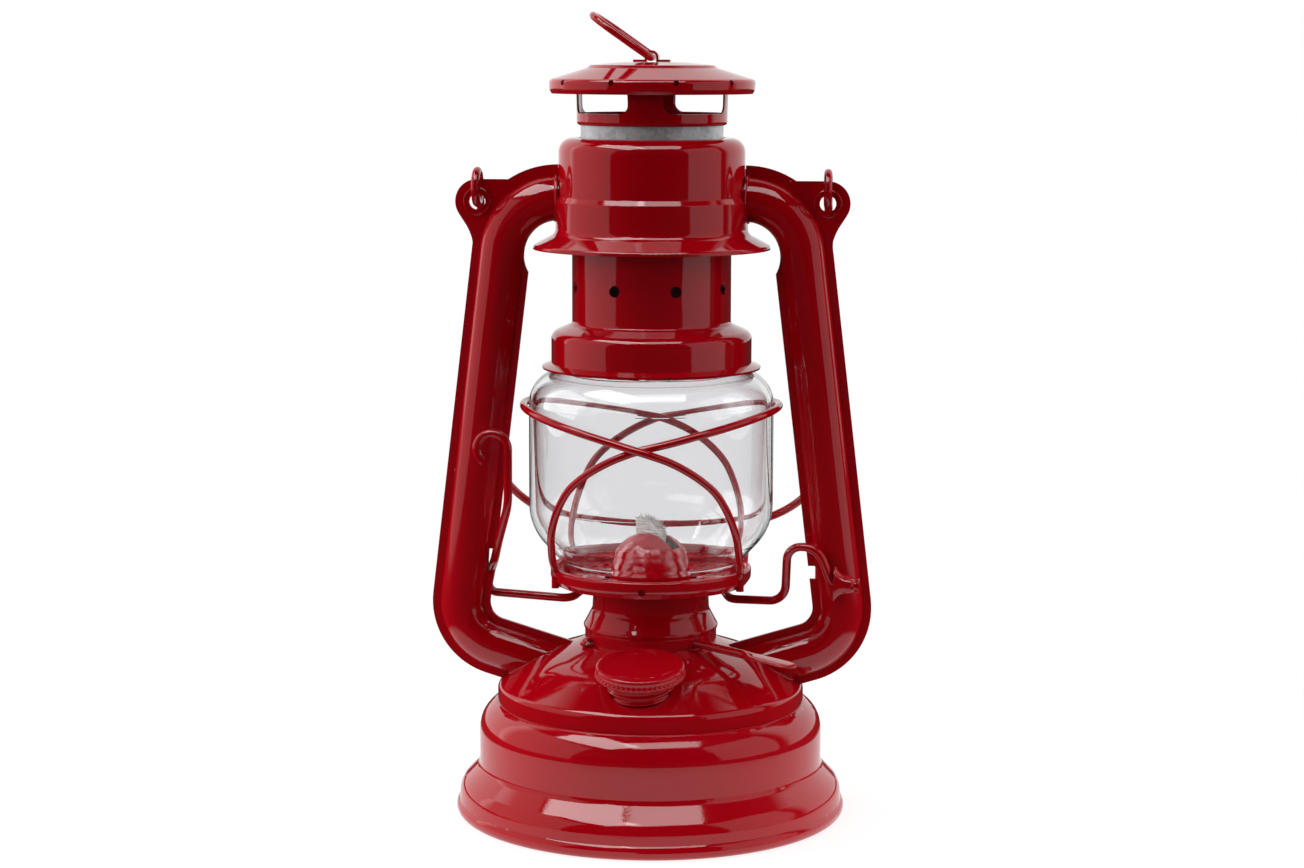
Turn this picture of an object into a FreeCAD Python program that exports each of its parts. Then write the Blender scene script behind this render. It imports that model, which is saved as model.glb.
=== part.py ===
import FreeCAD, Part
import math
import os

from FreeCAD import Vector

# Tubular hurricane lantern, in millimetres. The origin is the middle of the base on the surface
# it stands on, +Z is up, the two side tubes stand along X and the filler cap is at the front, -Y.

# Sheet thicknesses and fits
sheet = 0.8
thin_sheet = 0.65
seat_gap = 0.05
running_gap = 0.06
loose_gap = 0.3

# Tank
foot_radius = 69.1
foot_roll_radius = 3.0
foot_roll_join = 48.0
foot_flat = 0.25
foot_bulge_radius = 67.5
foot_bulge_height = 10.8
foot_bulge_bend = 7.0
wall_radius = 60.8
wall_foot_height = 17.6
wall_foot_bend = 2.5
tank_height = 40.0
shoulder_height = 4.4
shoulder_width = 5.9
shoulder_bend = 11.0
shoulder_top_bend = 3.0
tank_lip_width = 2.2
bottom_rise = 2.0
bottom_height = 3.0
bottom_border = 3.0
bottom_dish_share = 0.6
bottom_seam = 0.5

# Air dome over the tank
dome_rim_radius = 54.3
dome_rim_height = 5.8
dome_height = 21.2
dome_bulge_share = 0.5
dome_bulge = 2.6
dome_seat_width = 1.4
dome_mouth_width = 4.0
dome_rim_bend = 2.6
dome_crown_bend = 30.0
dome_top_bend = 6.0

# Burner
collar_radius = 23.3
collar_foot_height = 4.4
collar_neck_radius = 20.2
collar_height = 22.9
collar_bead = 0.6
collar_bead_height = 1.6
collar_bead_bend = 1.0
collar_shoulder_height = 7.6
collar_shoulder_bend = 3.0
collar_taper = 0.5
burner_plug_radius = 12.0
burner_depth = 6.0
burner_flange_width = 3.5
burner_flange_height = 2.0
gallery_radius = 18.4
gallery_wall = 1.0
gallery_rise = 6.4
gallery_above_dome = 0.5
cone_radius = 14.2
cone_height = 24.4
cone_skirt_height = 6.0
cone_flange_inset = 0.6
slot_width = 5.0
slot_length = 22.0
slot_foot_rise = 4.0
wick_width = 12.0
wick_thickness = 3.0
wick_top_above_cone = 5.4
wick_foot_height = 17.5
wick_room = 0.25
wick_tube_wall = 0.8
wick_tube_below_cone = 4.2
wick_tube_below_plug = 2.0
wick_tuft_height = 3.0
wick_tuft_inset = 0.8
wick_tuft_thinning = 0.3
wick_direction = -29.0
spindle_radius = 1.5
spindle_rise = 4.4
spindle_slope = 4.7
spindle_reach = 63.7
spindle_tail = 12.0
key_length = 21.0
key_width = 11.0
key_thickness = 1.3
key_corner = 3.0
key_tip_corner = 4.0
key_tip_share = 0.9
key_overlap = 4.0
sprocket_radius = 4.2
sprocket_teeth = 10
sprocket_tooth = 0.9
sprocket_thickness = 1.2
sprocket_spacing = 6.0
sprocket_room = 0.4
sprocket_gap = 0.1

# Filler
filler_offset = 40.0
filler_above_tank = 11.7
filler_tilt = 11.0
neck_radius = 9.6
neck_thread_radius = 10.9
neck_length = 6.0
neck_thread_ridges = 4
neck_thread_pitch = 2.4
neck_ridge = 0.45
neck_step = 1.0
gasket_thickness = 0.8
gasket_overhang = 1.2
cap_radius = 15.75
cap_thickness = 3.0
cap_dish = 0.8
cap_rim_width = 2.0
cap_dish_slope = 1.5
cap_knurls = 48
cap_knurl_depth = 0.45
plug_length = 7.0
plug_wall = 1.0
plug_gap = 0.15
plug_groove_height = 0.9
plug_groove_depth = 0.4

# Side tubes: two pressed halves with seam fins
tube_body_width = 15.6
tube_half_depth = 7.25
outer_fin = 2.8
inner_fin = 2.3
tube_entry_above_hood_edge = 17.4
leg_top_offset = 50.5
elbow_offset = 69.05
elbow_above_tank = 22.23
tube_run_slope = 17.0
upper_bend = 20.0
lower_bend = 16.5
tube_inner_reach = 26.0
tube_into_hood = 6.0
air_hole_radius = 6.2
notch_length = 4.6
notch_depth = 2.2
lever_notch_length = 8.8
ear_radius = 7.8
ear_hole_radius = 2.85
ear_web_length = 13.0
crown_fin = 4.0
ear_offset = 61.3
ear_below_tube = 1.3

# Hood
hood_edge_above_bell = 41.0
hood_edge_radius = 41.4
hood_radius = 32.5
hood_step = 1.1
hood_step_height = 17.4
hood_step_rise = 1.9
hood_step_bend = 0.8
hood_length = 38.6
hood_corner = 5.0
hood_rim_height = 1.3
hood_rim_bend = 1.1
hood_flare_height = 5.4
hood_flare_bend = 3.0
hood_vents = 12
hood_vent_radius = 1.3

# Globe plate, globe and guard
plate_radius = 35.5
plate_rim_above_floor = 3.3
plate_rim_below_floor = 2.8
plate_rim_width = 2.3
plate_rim_bend = 1.1
plate_rim_tuck = 1.6
plate_belly_drop = 0.6
plate_belly_bend = 2.4
plate_hole_radius = 16.4
vent_hole_radius = 1.3
inner_vents = 18
inner_vent_circle = 19.4
outer_vents = 24
outer_vent_circle = 25.2
rim_hole_radius = 1.25
rim_hole_drop = 0.35
globe_wall = 2.2
globe_foot_radius = 30.9
globe_foot_flare = 0.4
globe_foot_height = 4.6
globe_foot_bend = 4.0
globe_bulge_height = 17.5
globe_bulge_bend = 20.0
globe_radius = 43.0
globe_shoulder_height = 68.1
globe_shoulder_bend = 12.0
globe_neck_radius = 32.7
globe_neck_rise = 5.4
globe_neck_bend = 2.8
globe_rim_height = 8.5
guard_wire_radius = 1.35
guard_foot_x = 32.4
guard_foot_y = 13.9
guard_foot_drop = 3.2
guard_foot_rise = 3.4
guard_top_height = 60.6
guard_cross_x = 1.0
guard_cross_height = 50.0
guard_stand_off = 1.05
guard_cross_gap = 0.1
guard_cross_room = 1.2

# Chimney
flange_radius = 38.4
bell_radius = 35.1
bell_above_neck = 0.7
bell_drum_height = 11.8
bell_flange_rise = 1.2
bell_drum_bend = 3.4
stack_radius = 27.8
stack_foot_rise = 3.2
stack_foot_bend = 1.6
stack_length = 30.6
stack_top_bend = 1.4
stack_holes = 8
stack_hole_radius = 2.0
stack_hole_height = 13.0
flue_radius = 24.8
flue_wall = 0.6
flue_overlap = 3.0
flue_above_hood = 4.3
flue_gap = 0.5
flue_below_window = 1.0
cage_radius = 26.2
cage_flare = 0.4
cage_band = 4.2
cage_foot_bend = 1.3
window_height = 9.0
window_width = 27.5
window_corner = 3.0
cage_height = 17.6
cap_disc_radius = 35.75
brim_height = 4.8
brim_bend = 1.6
brim_tuck = 0.8
brim_tuck_height = 1.4
brim_above_cage_foot = 10.9
cap_slope_radius = 22.7
cap_slope_rise = 4.0
cap_step = 1.0
cap_step_width = 1.2
cap_step_bend = 1.0
cap_crown_rise = 1.0
cap_crown_bend = 40.0
brim_holes = 10
brim_hole_radius = 1.0
brim_hole_drop = 0.9
spring_wire_radius = 0.75
spring_turns = 7
spring_radius = 27.6

# Top ring and its staple
ring_wire_radius = 1.3
ring_length = 26.3
ring_width = 20.0
ring_lean = 35.0
ring_pivot_bend = 2.6
ring_waist = 6.0
ring_waist_bend = 5.0
staple_width = 6.0
staple_wall = 0.8
staple_foot = 4.0
staple_room = 0.3

# Lift lever and bail
lever_wire_radius = 1.5
lever_low_run = 9.3
handle_offset = 49.2
handle_rise = 41.3
handle_forward = 13.0
handle_curl = 5.5
handle_curl_turn = 235.0
lever_cross_offset = 55.8
lever_cross_rise = 5.1
lever_pivot_offset = 68.2
lever_pivot_drop = 0.2
lever_hump_rise = 13.2
strap_length = 4.0
strap_wall = 1.0
strap_foot = 4.0
bail_wire_radius = 1.45
bail_eye_radius = 5.6
bail_drop = 133.6
bail_lean = 15.4
bail_spread = 64.0
bail_corner = 36.0
bail_bottom_rise = 7.0
bail_belly_bend = 240.0
bail_knee_drop = 14.0
bail_knee_bend = 60.0

# Levels and places that follow from the sizes above
collar_level = tank_height + dome_height
collar_top = collar_level + collar_height
plate_level = collar_top + loose_gap
floor_level = plate_level + sheet
cone_top = collar_level + cone_height + cone_radius
filler_height = tank_height + filler_above_tank
globe_neck_height = globe_shoulder_height + globe_neck_rise
bell_level = floor_level + globe_neck_height + bell_above_neck
stack_top = bell_level + bell_drum_height + stack_foot_rise + stack_length
hood_edge_height = bell_level + hood_edge_above_bell
hood_top = hood_edge_height + hood_length
tube_level = hood_edge_height + tube_entry_above_hood_edge
cage_level = hood_top + flue_above_hood
brim_level = cage_level + brim_above_cage_foot
cap_top = brim_level + brim_height + cap_slope_rise + cap_step + cap_crown_rise
flue_hole_radius = flue_radius + flue_gap
ear_height = tube_level - ear_below_tube
elbow_height = tank_height + elbow_above_tank
leg_slope = (elbow_offset - leg_top_offset) / (tube_level - elbow_height)
bottom_edge_radius = foot_radius - 2 * foot_roll_radius + bottom_seam
cone_foot = collar_level + cone_height - cone_skirt_height
lever_cross_height = plate_level + lever_cross_rise
lever_pivot_height = plate_level - lever_pivot_drop
lever_hump_height = lever_pivot_height + lever_hump_rise
handle_height = lever_cross_height + handle_rise

origin = Vector(0, 0, 0)
up = Vector(0, 0, 1)
wick_along = Vector(math.cos(math.radians(wick_direction)), math.sin(math.radians(wick_direction)), 0)
wick_across = Vector(wick_along.y, -wick_along.x, 0)
filler_axis = Vector(0, -math.sin(math.radians(filler_tilt)), math.cos(math.radians(filler_tilt)))
filler_point = Vector(0, -filler_offset, filler_height)


def line(start, end):
    return Part.LineSegment(start, end).toShape()


def rounded(corners):
    """Edges along the corners, each a point and a bend radius, with a tangent arc at each bend."""
    edges = []
    start = corners[0][0]
    for before, (point, bend), after in zip(corners, corners[1:], corners[2:]):
        back = (before[0] - point).normalize()
        onward = (after[0] - point).normalize()
        half_turn = (math.pi - back.getAngle(onward)) / 2
        if bend <= 0 or half_turn < 1e-4:
            edges.append(line(start, point))
            start = point
            continue
        reach = bend * math.tan(half_turn)
        middle = point + (back + onward).normalize() * (bend / math.cos(half_turn) - bend)
        arc_start = point + back * reach
        if (arc_start - start).Length > 1e-4:
            edges.append(line(start, arc_start))
        start = point + onward * reach
        edges.append(Part.Arc(arc_start, middle, start).toShape())
    edges.append(line(start, corners[-1][0]))
    return edges


def smooth_corners(points, share=0.45):
    """Corners through the points, each bend as large as its two runs allow."""
    corners = [(points[0], 0)]
    for before, point, after in zip(points, points[1:], points[2:]):
        half_turn = (math.pi - (before - point).getAngle(after - point)) / 2
        run = min((before - point).Length, (after - point).Length)
        corners.append((point, share * run / math.tan(half_turn)))
    corners.append((points[-1], 0))
    return corners


def swept_wire(edges, radius):
    """Round wire of the given radius along tangent edges."""
    path = Part.Wire(edges)
    first = edges[0]
    start = first.valueAt(first.FirstParameter)
    heading = first.tangentAt(first.FirstParameter)
    ring = Part.Wire(Part.Circle(start, heading, radius).toShape())
    return path.makePipeShell([ring], True, False)


def turned(edges):
    """Solid of revolution about Z from edges that close a face in the XZ plane."""
    return Part.Face(Part.Wire(edges)).revolve(origin, up, 360)


def turned_outline(points):
    """Solid of revolution from straight sides through radius and height pairs."""
    corners = [Vector(radius, 0, height) for radius, height in points]
    return turned([line(a, b) for a, b in zip(corners, corners[1:] + corners[:1])])


def turned_sheet(outline, wall=sheet):
    """Sheet of revolution. The outline runs along one face, and the wall lies on its left.

    Each point of the outline is a radius, a height and a bend radius."""
    points = [Vector(radius, 0, height) for radius, height, bend in outline]
    bends = [bend for radius, height, bend in outline]
    runs = [(b - a).normalize() for a, b in zip(points, points[1:])]
    lefts = [Vector(-run.z, 0, run.x) for run in runs]
    inner = [points[0] + lefts[0] * wall]
    inner_bends = [0]
    for i in range(1, len(runs)):
        mitre = (lefts[i - 1] + lefts[i]) * (1 / (1 + lefts[i - 1].dot(lefts[i])))
        inner.append(points[i] + mitre * wall)
        turn = runs[i - 1].x * runs[i].z - runs[i - 1].z * runs[i].x
        if bends[i] <= 0:
            inner_bends.append(0)
        elif turn > 0:
            inner_bends.append(max(bends[i] - wall, 0))
        else:
            inner_bends.append(bends[i] + wall)
    inner.append(points[-1] + lefts[-1] * wall)
    inner_bends.append(0)
    back = list(reversed(list(zip(inner, inner_bends))))
    edges = rounded(list(zip(points, bends)))
    edges.append(line(points[-1], inner[-1]))
    edges += rounded(back)
    edges.append(line(inner[0], points[0]))
    return turned(edges)


def rod(start, heading, radius, length):
    return Part.makeCylinder(radius, length, start, heading)


def ring_of(count, circle, height, phase=0):
    """Points spaced evenly on a circle about Z."""
    for i in range(count):
        angle = math.radians(phase + 360 * i / count)
        yield Vector(circle * math.cos(angle), circle * math.sin(angle), height)


def drilled(shape, drills):
    return shape.cut(Part.makeCompound(drills))


def leg_offset(height):
    """Distance of a side tube's middle line from the lantern's axis, along its straight leg."""
    return leg_top_offset + (tube_level - height) * leg_slope


# Tank

def make_tank_shell():
    lip_radius = dome_rim_radius - tank_lip_width
    wall_top = tank_height - shoulder_height
    roll_radius = foot_radius - foot_roll_radius
    roll_height = foot_roll_radius - foot_flat
    join = math.radians(foot_roll_join)
    body = turned_sheet([
        (roll_radius + foot_roll_radius * math.cos(join), roll_height + foot_roll_radius * math.sin(join), 0),
        (foot_bulge_radius, foot_bulge_height, foot_bulge_bend),
        (wall_radius, wall_foot_height, wall_foot_bend),
        (wall_radius, wall_top, shoulder_bend),
        (wall_radius - shoulder_width, tank_height, shoulder_top_bend),
        (lip_radius, tank_height, 0),
    ])
    roll = Part.makeTorus(roll_radius, foot_roll_radius)
    roll.translate(up * roll_height)
    inside = rod(origin, up, bottom_edge_radius, 2 * foot_roll_radius)
    below = rod(up * -foot_flat, up, foot_radius, foot_flat)
    return body.fuse(roll).cut(inside).cut(below).removeSplitter()


def make_tank_bottom():
    edge = bottom_edge_radius - seat_gap
    return turned_sheet([
        (0, bottom_height + bottom_rise, 0),
        (edge * bottom_dish_share, bottom_height + bottom_rise, 2 * bottom_border),
        (edge - bottom_border, bottom_height, bottom_border),
        (edge, bottom_height, 0),
    ])


def make_tank_top():
    inner_wall = wall_radius - shoulder_width - 2 * sheet
    edge = min(inner_wall, dome_rim_radius + 1.5 * sheet) - seat_gap
    disc = rod(Vector(0, 0, tank_height - 2 * sheet), up, edge, sheet)
    plug_hole = rod(origin, up, burner_plug_radius + seat_gap, tank_height)
    return disc.cut(plug_hole).cut(filler_bore(neck_radius))


def dome_corners():
    seat = collar_radius + dome_seat_width
    middle = seat + (dome_rim_radius - seat) * dome_bulge_share
    rim_top = tank_height + dome_rim_height
    middle_height = rim_top + (collar_level - rim_top) * (1 - dome_bulge_share) + dome_bulge
    return [
        (dome_rim_radius, tank_height, 0),
        (dome_rim_radius, rim_top, dome_rim_bend),
        (middle, middle_height, dome_crown_bend),
        (seat, collar_level, dome_top_bend),
        (collar_radius - dome_mouth_width, collar_level, 0),
    ]


def space_under(outline, gap):
    """Everything under a turned outline, grown by a gap, to cut what seats on it."""
    points = [(Vector(radius + gap, 0, height + gap), bend) for radius, height, bend in outline]
    foot = points[0][0]
    top = points[-1][0]
    edges = rounded(points)
    edges.append(line(top, Vector(0, 0, top.z)))
    edges.append(line(Vector(0, 0, top.z), Vector(0, 0, foot.z)))
    edges.append(line(Vector(0, 0, foot.z), foot))
    return turned(edges)


def make_air_dome():
    dome = turned_sheet(dome_corners())
    return drilled(dome, [filler_bore(neck_thread_radius + neck_ridge)] + tube_bores())


# Filler neck, cap and gasket

def filler_bore(radius):
    start = filler_point - filler_axis * filler_height
    return rod(start, filler_axis, radius + seat_gap, 2 * filler_height)


def on_filler(shape):
    """Moves a shape made about Z, with its origin at the neck's foot, onto the tilted filler axis."""
    shape.rotate(origin, Vector(1, 0, 0), filler_tilt)
    shape.translate(filler_point)
    return shape


def make_filler_neck():
    foot = -(filler_height - tank_height + 3 * sheet) / filler_axis.z
    thread_foot = neck_length - neck_thread_ridges * neck_thread_pitch
    outline = [(neck_radius - sheet, foot), (neck_radius, foot)]
    outline.append((neck_radius, thread_foot - neck_step))
    for i in range(neck_thread_ridges):
        height = thread_foot + i * neck_thread_pitch
        outline.append((neck_thread_radius - neck_ridge, height))
        outline.append((neck_thread_radius + neck_ridge, height + 0.4 * neck_thread_pitch))
        outline.append((neck_thread_radius + neck_ridge, height + 0.6 * neck_thread_pitch))
    outline.append((neck_thread_radius - neck_ridge, neck_length))
    outline.append((neck_thread_radius - neck_ridge - sheet, neck_length))
    outline.append((neck_thread_radius - neck_ridge - sheet, thread_foot))
    outline.append((neck_radius - sheet, thread_foot - neck_step))
    return on_filler(turned_outline(outline))


def make_cap_gasket():
    inner = neck_thread_radius - neck_ridge - sheet + loose_gap
    outer = neck_thread_radius + gasket_overhang
    height = neck_length + seat_gap
    ring = rod(Vector(0, 0, height), up, outer, gasket_thickness)
    return on_filler(ring.cut(rod(Vector(0, 0, height), up, inner, gasket_thickness)))


def make_fuel_cap():
    under = neck_length + gasket_thickness + 2 * seat_gap
    points = []
    for i in range(cap_knurls):
        for share, radius in ((0.0, cap_radius), (0.5, cap_radius - cap_knurl_depth)):
            angle = 2 * math.pi * (i + share) / cap_knurls
            points.append(Vector(radius * math.cos(angle), radius * math.sin(angle), under))
    outline = Part.Wire([line(a, b) for a, b in zip(points, points[1:] + points[:1])])
    disc = Part.Face(outline).extrude(Vector(0, 0, cap_thickness))
    dish_radius = cap_radius - cap_rim_width
    dish_foot = Vector(0, 0, under + cap_thickness - cap_dish)
    dish = Part.makeCone(dish_radius - cap_dish_slope, dish_radius, cap_dish, dish_foot)
    plug_radius = neck_thread_radius - neck_ridge - sheet - plug_gap
    plug_foot = Vector(0, 0, under - plug_length)
    plug = rod(plug_foot, up, plug_radius, plug_length)
    hollow = rod(plug_foot, up, plug_radius - plug_wall, plug_length - plug_wall)
    grooves = []
    for i in range(1, neck_thread_ridges - 1):
        foot = Vector(0, 0, under - i * neck_thread_pitch - plug_groove_height)
        groove = rod(foot, up, cap_radius, plug_groove_height)
        grooves.append(groove.cut(rod(foot, up, plug_radius - plug_groove_depth, plug_groove_height)))
    cap = disc.fuse(plug).cut(dish).cut(hollow)
    return on_filler(drilled(cap, grooves))


# Burner

def spindle_line():
    """A point on the spindle beside the wick, and its outward direction."""
    slope = math.radians(spindle_slope)
    heading = wick_along * math.cos(slope) - up * math.sin(slope)
    offset = wick_thickness / 2 + sprocket_radius + sprocket_gap
    middle = wick_across * offset + up * (collar_level + spindle_rise)
    return middle, heading


def spindle_bore():
    middle, heading = spindle_line()
    start = middle - heading * (spindle_tail + loose_gap)
    return rod(start, heading, spindle_radius + running_gap, spindle_reach + spindle_tail)


def along_wick(width, depth, height, foot):
    """Upright block round the axis, its width along the wick and its depth across it."""
    block = Part.makeBox(width, depth, height, Vector(-width / 2, -depth / 2, foot))
    block.rotate(origin, up, wick_direction)
    return block


def make_burner_collar():
    neck_foot = collar_level + collar_foot_height
    collar = turned_sheet([
        (collar_radius, collar_level, 0),
        (collar_radius, neck_foot, collar_bead_bend),
        (collar_radius + collar_bead, neck_foot + collar_bead_height, collar_bead_bend),
        (collar_radius - collar_bead / 2, neck_foot + 2 * collar_bead_height, collar_bead_bend),
        (collar_neck_radius + collar_taper, neck_foot + collar_shoulder_height, collar_shoulder_bend),
        (collar_neck_radius, collar_top, 0),
    ])
    return collar.cut(spindle_bore())


def make_burner_base():
    plug_foot = tank_height - burner_depth
    flange = tank_height - sheet
    flange_top = flange + burner_flange_height
    cup_foot = collar_level + gallery_above_dome
    wall = gallery_wall
    body = turned_outline([
        (0, plug_foot),
        (burner_plug_radius, plug_foot),
        (burner_plug_radius, flange),
        (burner_plug_radius + burner_flange_width, flange),
        (burner_plug_radius + burner_flange_width, flange_top),
        (burner_plug_radius, flange_top),
        (burner_plug_radius, cup_foot),
        (gallery_radius, cup_foot + gallery_rise),
        (gallery_radius, cone_foot),
        (gallery_radius - wall, cone_foot),
        (gallery_radius - wall, cup_foot + gallery_rise + 0.6 * wall),
        (burner_plug_radius - wall, cup_foot + 0.8 * wall),
        (burner_plug_radius - wall, flange_top + wall),
        (0, flange_top + wall),
    ])
    tube_width = wick_width + 2 * (wick_room + wick_tube_wall + seat_gap)
    tube_depth = wick_thickness + 2 * (wick_room + wick_tube_wall + seat_gap)
    slot = along_wick(tube_width, tube_depth, cone_foot - plug_foot, plug_foot - wall)
    return body.cut(slot).cut(spindle_bore())


def make_wick_tube():
    foot = tank_height - burner_depth - wick_tube_below_plug
    top = cone_top - wick_tube_below_cone
    room = 2 * wick_room
    wall = 2 * wick_tube_wall
    outside = along_wick(wick_width + room + wall, wick_thickness + room + wall, top - foot, foot)
    inside = along_wick(wick_width + room, wick_thickness + room, top - foot, foot)
    middle, heading = spindle_line()
    windows = []
    for side in (-0.5, 0.5):
        centre = middle + heading * (side * sprocket_spacing)
        start = centre - heading * (sprocket_thickness / 2 + loose_gap)
        length = sprocket_thickness + 2 * loose_gap
        windows.append(rod(start, heading, sprocket_radius + sprocket_room, length))
    return drilled(outside.cut(inside), windows)


def make_burner_cone():
    level = collar_level + cone_height
    foot = cone_foot + seat_gap
    outer = Part.makeSphere(cone_radius, Vector(0, 0, level))
    inner = Part.makeSphere(cone_radius - sheet, Vector(0, 0, level))
    lower = rod(Vector(0, 0, level - cone_radius), up, gallery_radius, cone_radius)
    shell = outer.cut(inner).cut(lower)
    skirt = rod(Vector(0, 0, foot), up, cone_radius, level - foot)
    skirt = skirt.cut(rod(Vector(0, 0, foot), up, cone_radius - sheet, level - foot))
    flange = rod(Vector(0, 0, foot), up, gallery_radius - cone_flange_inset, sheet)
    flange = flange.cut(rod(Vector(0, 0, foot), up, cone_radius - sheet, sheet))
    slot = along_wick(slot_length, slot_width, cone_radius, level + slot_foot_rise)
    return shell.fuse([skirt, flange]).cut(slot).removeSplitter()


def make_wick():
    top = cone_top + wick_top_above_cone
    tuft_foot = top - wick_tuft_height
    body = along_wick(wick_width, wick_thickness, tuft_foot - wick_foot_height, wick_foot_height)
    tuft_width = wick_width - 2 * wick_tuft_inset
    tuft_thickness = wick_thickness - 2 * wick_tuft_thinning
    tuft = along_wick(tuft_width, tuft_thickness, wick_tuft_height, tuft_foot)
    return body.fuse(tuft).removeSplitter()


def make_wick_spindle():
    middle, heading = spindle_line()
    start = middle - heading * spindle_tail
    shaft = rod(start, heading, spindle_radius, spindle_reach - key_length + key_overlap + spindle_tail)
    level = heading.cross(up).normalize()
    side = level * (key_width / 2)
    thick = heading.cross(level).normalize() * key_thickness
    neck = middle + heading * (spindle_reach - key_length)
    tip = middle + heading * spindle_reach
    corners = [
        (neck, 0),
        (neck + side, key_corner),
        (tip + side * key_tip_share, key_tip_corner),
        (tip - side * key_tip_share, key_tip_corner),
        (neck - side, key_corner),
        (neck, 0),
    ]
    edges = rounded(corners)
    key = Part.Face(Part.Wire(edges)).extrude(thick)
    key.translate(thick * -0.5)
    return shaft.fuse(key).removeSplitter()


def make_wick_sprockets():
    middle, heading = spindle_line()
    wheels = []
    for place in (-0.5, 0.5):
        points = []
        for i in range(2 * sprocket_teeth):
            radius = sprocket_radius - sprocket_tooth * (i % 2)
            angle = math.pi * i / sprocket_teeth
            points.append(Vector(radius * math.cos(angle), radius * math.sin(angle), 0))
        star = Part.Wire([line(a, b) for a, b in zip(points, points[1:] + points[:1])])
        wheel = Part.Face(star).extrude(Vector(0, 0, sprocket_thickness))
        wheel = wheel.cut(rod(origin, up, spindle_radius + seat_gap / 2, sprocket_thickness))
        wheel.translate(Vector(0, 0, place * sprocket_spacing - sprocket_thickness / 2))
        wheel.Placement = FreeCAD.Placement(middle, FreeCAD.Rotation(up, heading)).multiply(wheel.Placement)
        wheels.append(wheel)
    return Part.makeCompound(wheels)


# Side tubes

def tube_path():
    """Middle line of the right side tube, from inside the hood down to inside the dome."""
    slope = math.radians(tube_run_slope)
    run = elbow_offset - tube_inner_reach
    foot = Vector(tube_inner_reach, 0, elbow_height - run * math.tan(slope))
    return rounded([
        (Vector(hood_radius - tube_into_hood, 0, tube_level), 0),
        (Vector(leg_top_offset, 0, tube_level), upper_bend),
        (Vector(elbow_offset, 0, elbow_height), lower_bend),
        (foot, 0),
    ])


def upper_bend_start():
    """Distance from the axis where a tube's upper bend begins."""
    turn = math.pi / 2 - math.atan(leg_slope)
    return leg_top_offset - upper_bend * math.tan(turn / 2)


def tube_bores():
    """Round air holes where the tubes enter the dome, left and right."""
    path = tube_path()
    last = path[-1]
    start = last.valueAt(last.FirstParameter)
    end = last.valueAt(last.LastParameter)
    bore = rod(start, end - start, air_hole_radius, (end - start).Length)
    return [bore, bore.mirror(origin, Vector(1, 0, 0))]


def make_tube_half():
    """Front half of the right side tube, with its fins, ear and notch."""
    half = tube_body_width / 2
    room = half - thin_sheet
    start = Vector(hood_radius - tube_into_hood, 0, tube_level)

    def at(u, y):
        return start + Vector(0, y, u)

    edges = [
        line(at(-half - inner_fin, 0), at(-half - inner_fin, -thin_sheet)),
        line(at(-half - inner_fin, -thin_sheet), at(-half, -thin_sheet)),
        Part.Arc(at(-half, -thin_sheet), at(0, -tube_half_depth), at(half, -thin_sheet)).toShape(),
        line(at(half, -thin_sheet), at(half + outer_fin, -thin_sheet)),
        line(at(half + outer_fin, -thin_sheet), at(half + outer_fin, 0)),
        line(at(half + outer_fin, 0), at(room, 0)),
        Part.Arc(at(room, 0), at(0, thin_sheet - tube_half_depth), at(-room, 0)).toShape(),
        line(at(-room, 0), at(-half - inner_fin, 0)),
    ]
    shell = Part.Wire(tube_path()).makePipeShell([Part.Wire(edges)], True, False)
    back = Vector(0, 1, 0)
    bend_centre = Vector(upper_bend_start(), -2 * thin_sheet, tube_level - upper_bend)
    ear_foot = Vector(ear_offset, -thin_sheet, ear_height)
    web_foot = ear_foot - Vector(ear_web_length, 0, 0)
    ear = rod(ear_foot, back, ear_radius, thin_sheet)
    ear = ear.fuse(Part.makeBox(ear_web_length, thin_sheet, ear_radius, web_foot))
    fin_foot = Vector(bend_centre.x, -thin_sheet, bend_centre.z)
    fin = rod(fin_foot, back, upper_bend + half + crown_fin, thin_sheet)
    web_top = web_foot + Vector(bend_centre.x - web_foot.x, 0, ear_radius)
    fin = fin.common(Part.makeBox(upper_bend + half, thin_sheet, ear_radius, web_top))
    through = 4 * thin_sheet
    ear = ear.fuse(fin).cut(rod(bend_centre, back, upper_bend + half - thin_sheet / 2, through))
    shell = shell.fuse(ear).cut(rod(ear_foot, back, ear_hole_radius, thin_sheet))
    fin_end = rod(bend_centre, back, upper_bend - half, through)
    hood_room = space_under(hood_corners(), seat_gap)
    dome_room = space_under(dome_corners(), seat_gap)
    tank_room = rod(origin, up, dome_rim_radius, tank_height + 2 * seat_gap)
    return shell.cut(fin_end).cut(hood_room).cut(dome_room).cut(tank_room).removeSplitter()


def fin_notch(length):
    """Cutter for the notch in the inner fin of the right tube."""
    half = tube_body_width / 2
    edge = leg_offset(plate_level + length / 2) - half - inner_fin
    corner = Vector(edge - half, -tube_half_depth, plate_level)
    return Part.makeBox(half + notch_depth, 2 * tube_half_depth, length, corner)


def make_tubes():
    half = make_tube_half()
    plain = half.cut(fin_notch(notch_length))
    deep = half.cut(fin_notch(lever_notch_length))
    across = Vector(1, 0, 0)
    along = Vector(0, 1, 0)
    left = deep.mirror(origin, across)
    return {
        "right_tube_front": plain,
        "right_tube_back": plain.mirror(origin, along),
        "left_tube_front": left,
        "left_tube_back": left.mirror(origin, along),
    }


# Hood

def hood_corners():
    step = hood_edge_height + hood_step_height
    return [
        (hood_edge_radius, hood_edge_height, 0),
        (hood_edge_radius, hood_edge_height + hood_rim_height, hood_rim_bend),
        (hood_radius + hood_step, hood_edge_height + hood_flare_height, hood_flare_bend),
        (hood_radius + hood_step, step - hood_step_rise / 2, hood_step_bend),
        (hood_radius, step + hood_step_rise / 2, hood_step_bend),
        (hood_radius, hood_top, hood_corner),
        (flue_hole_radius, hood_top, 0),
    ]


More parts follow.
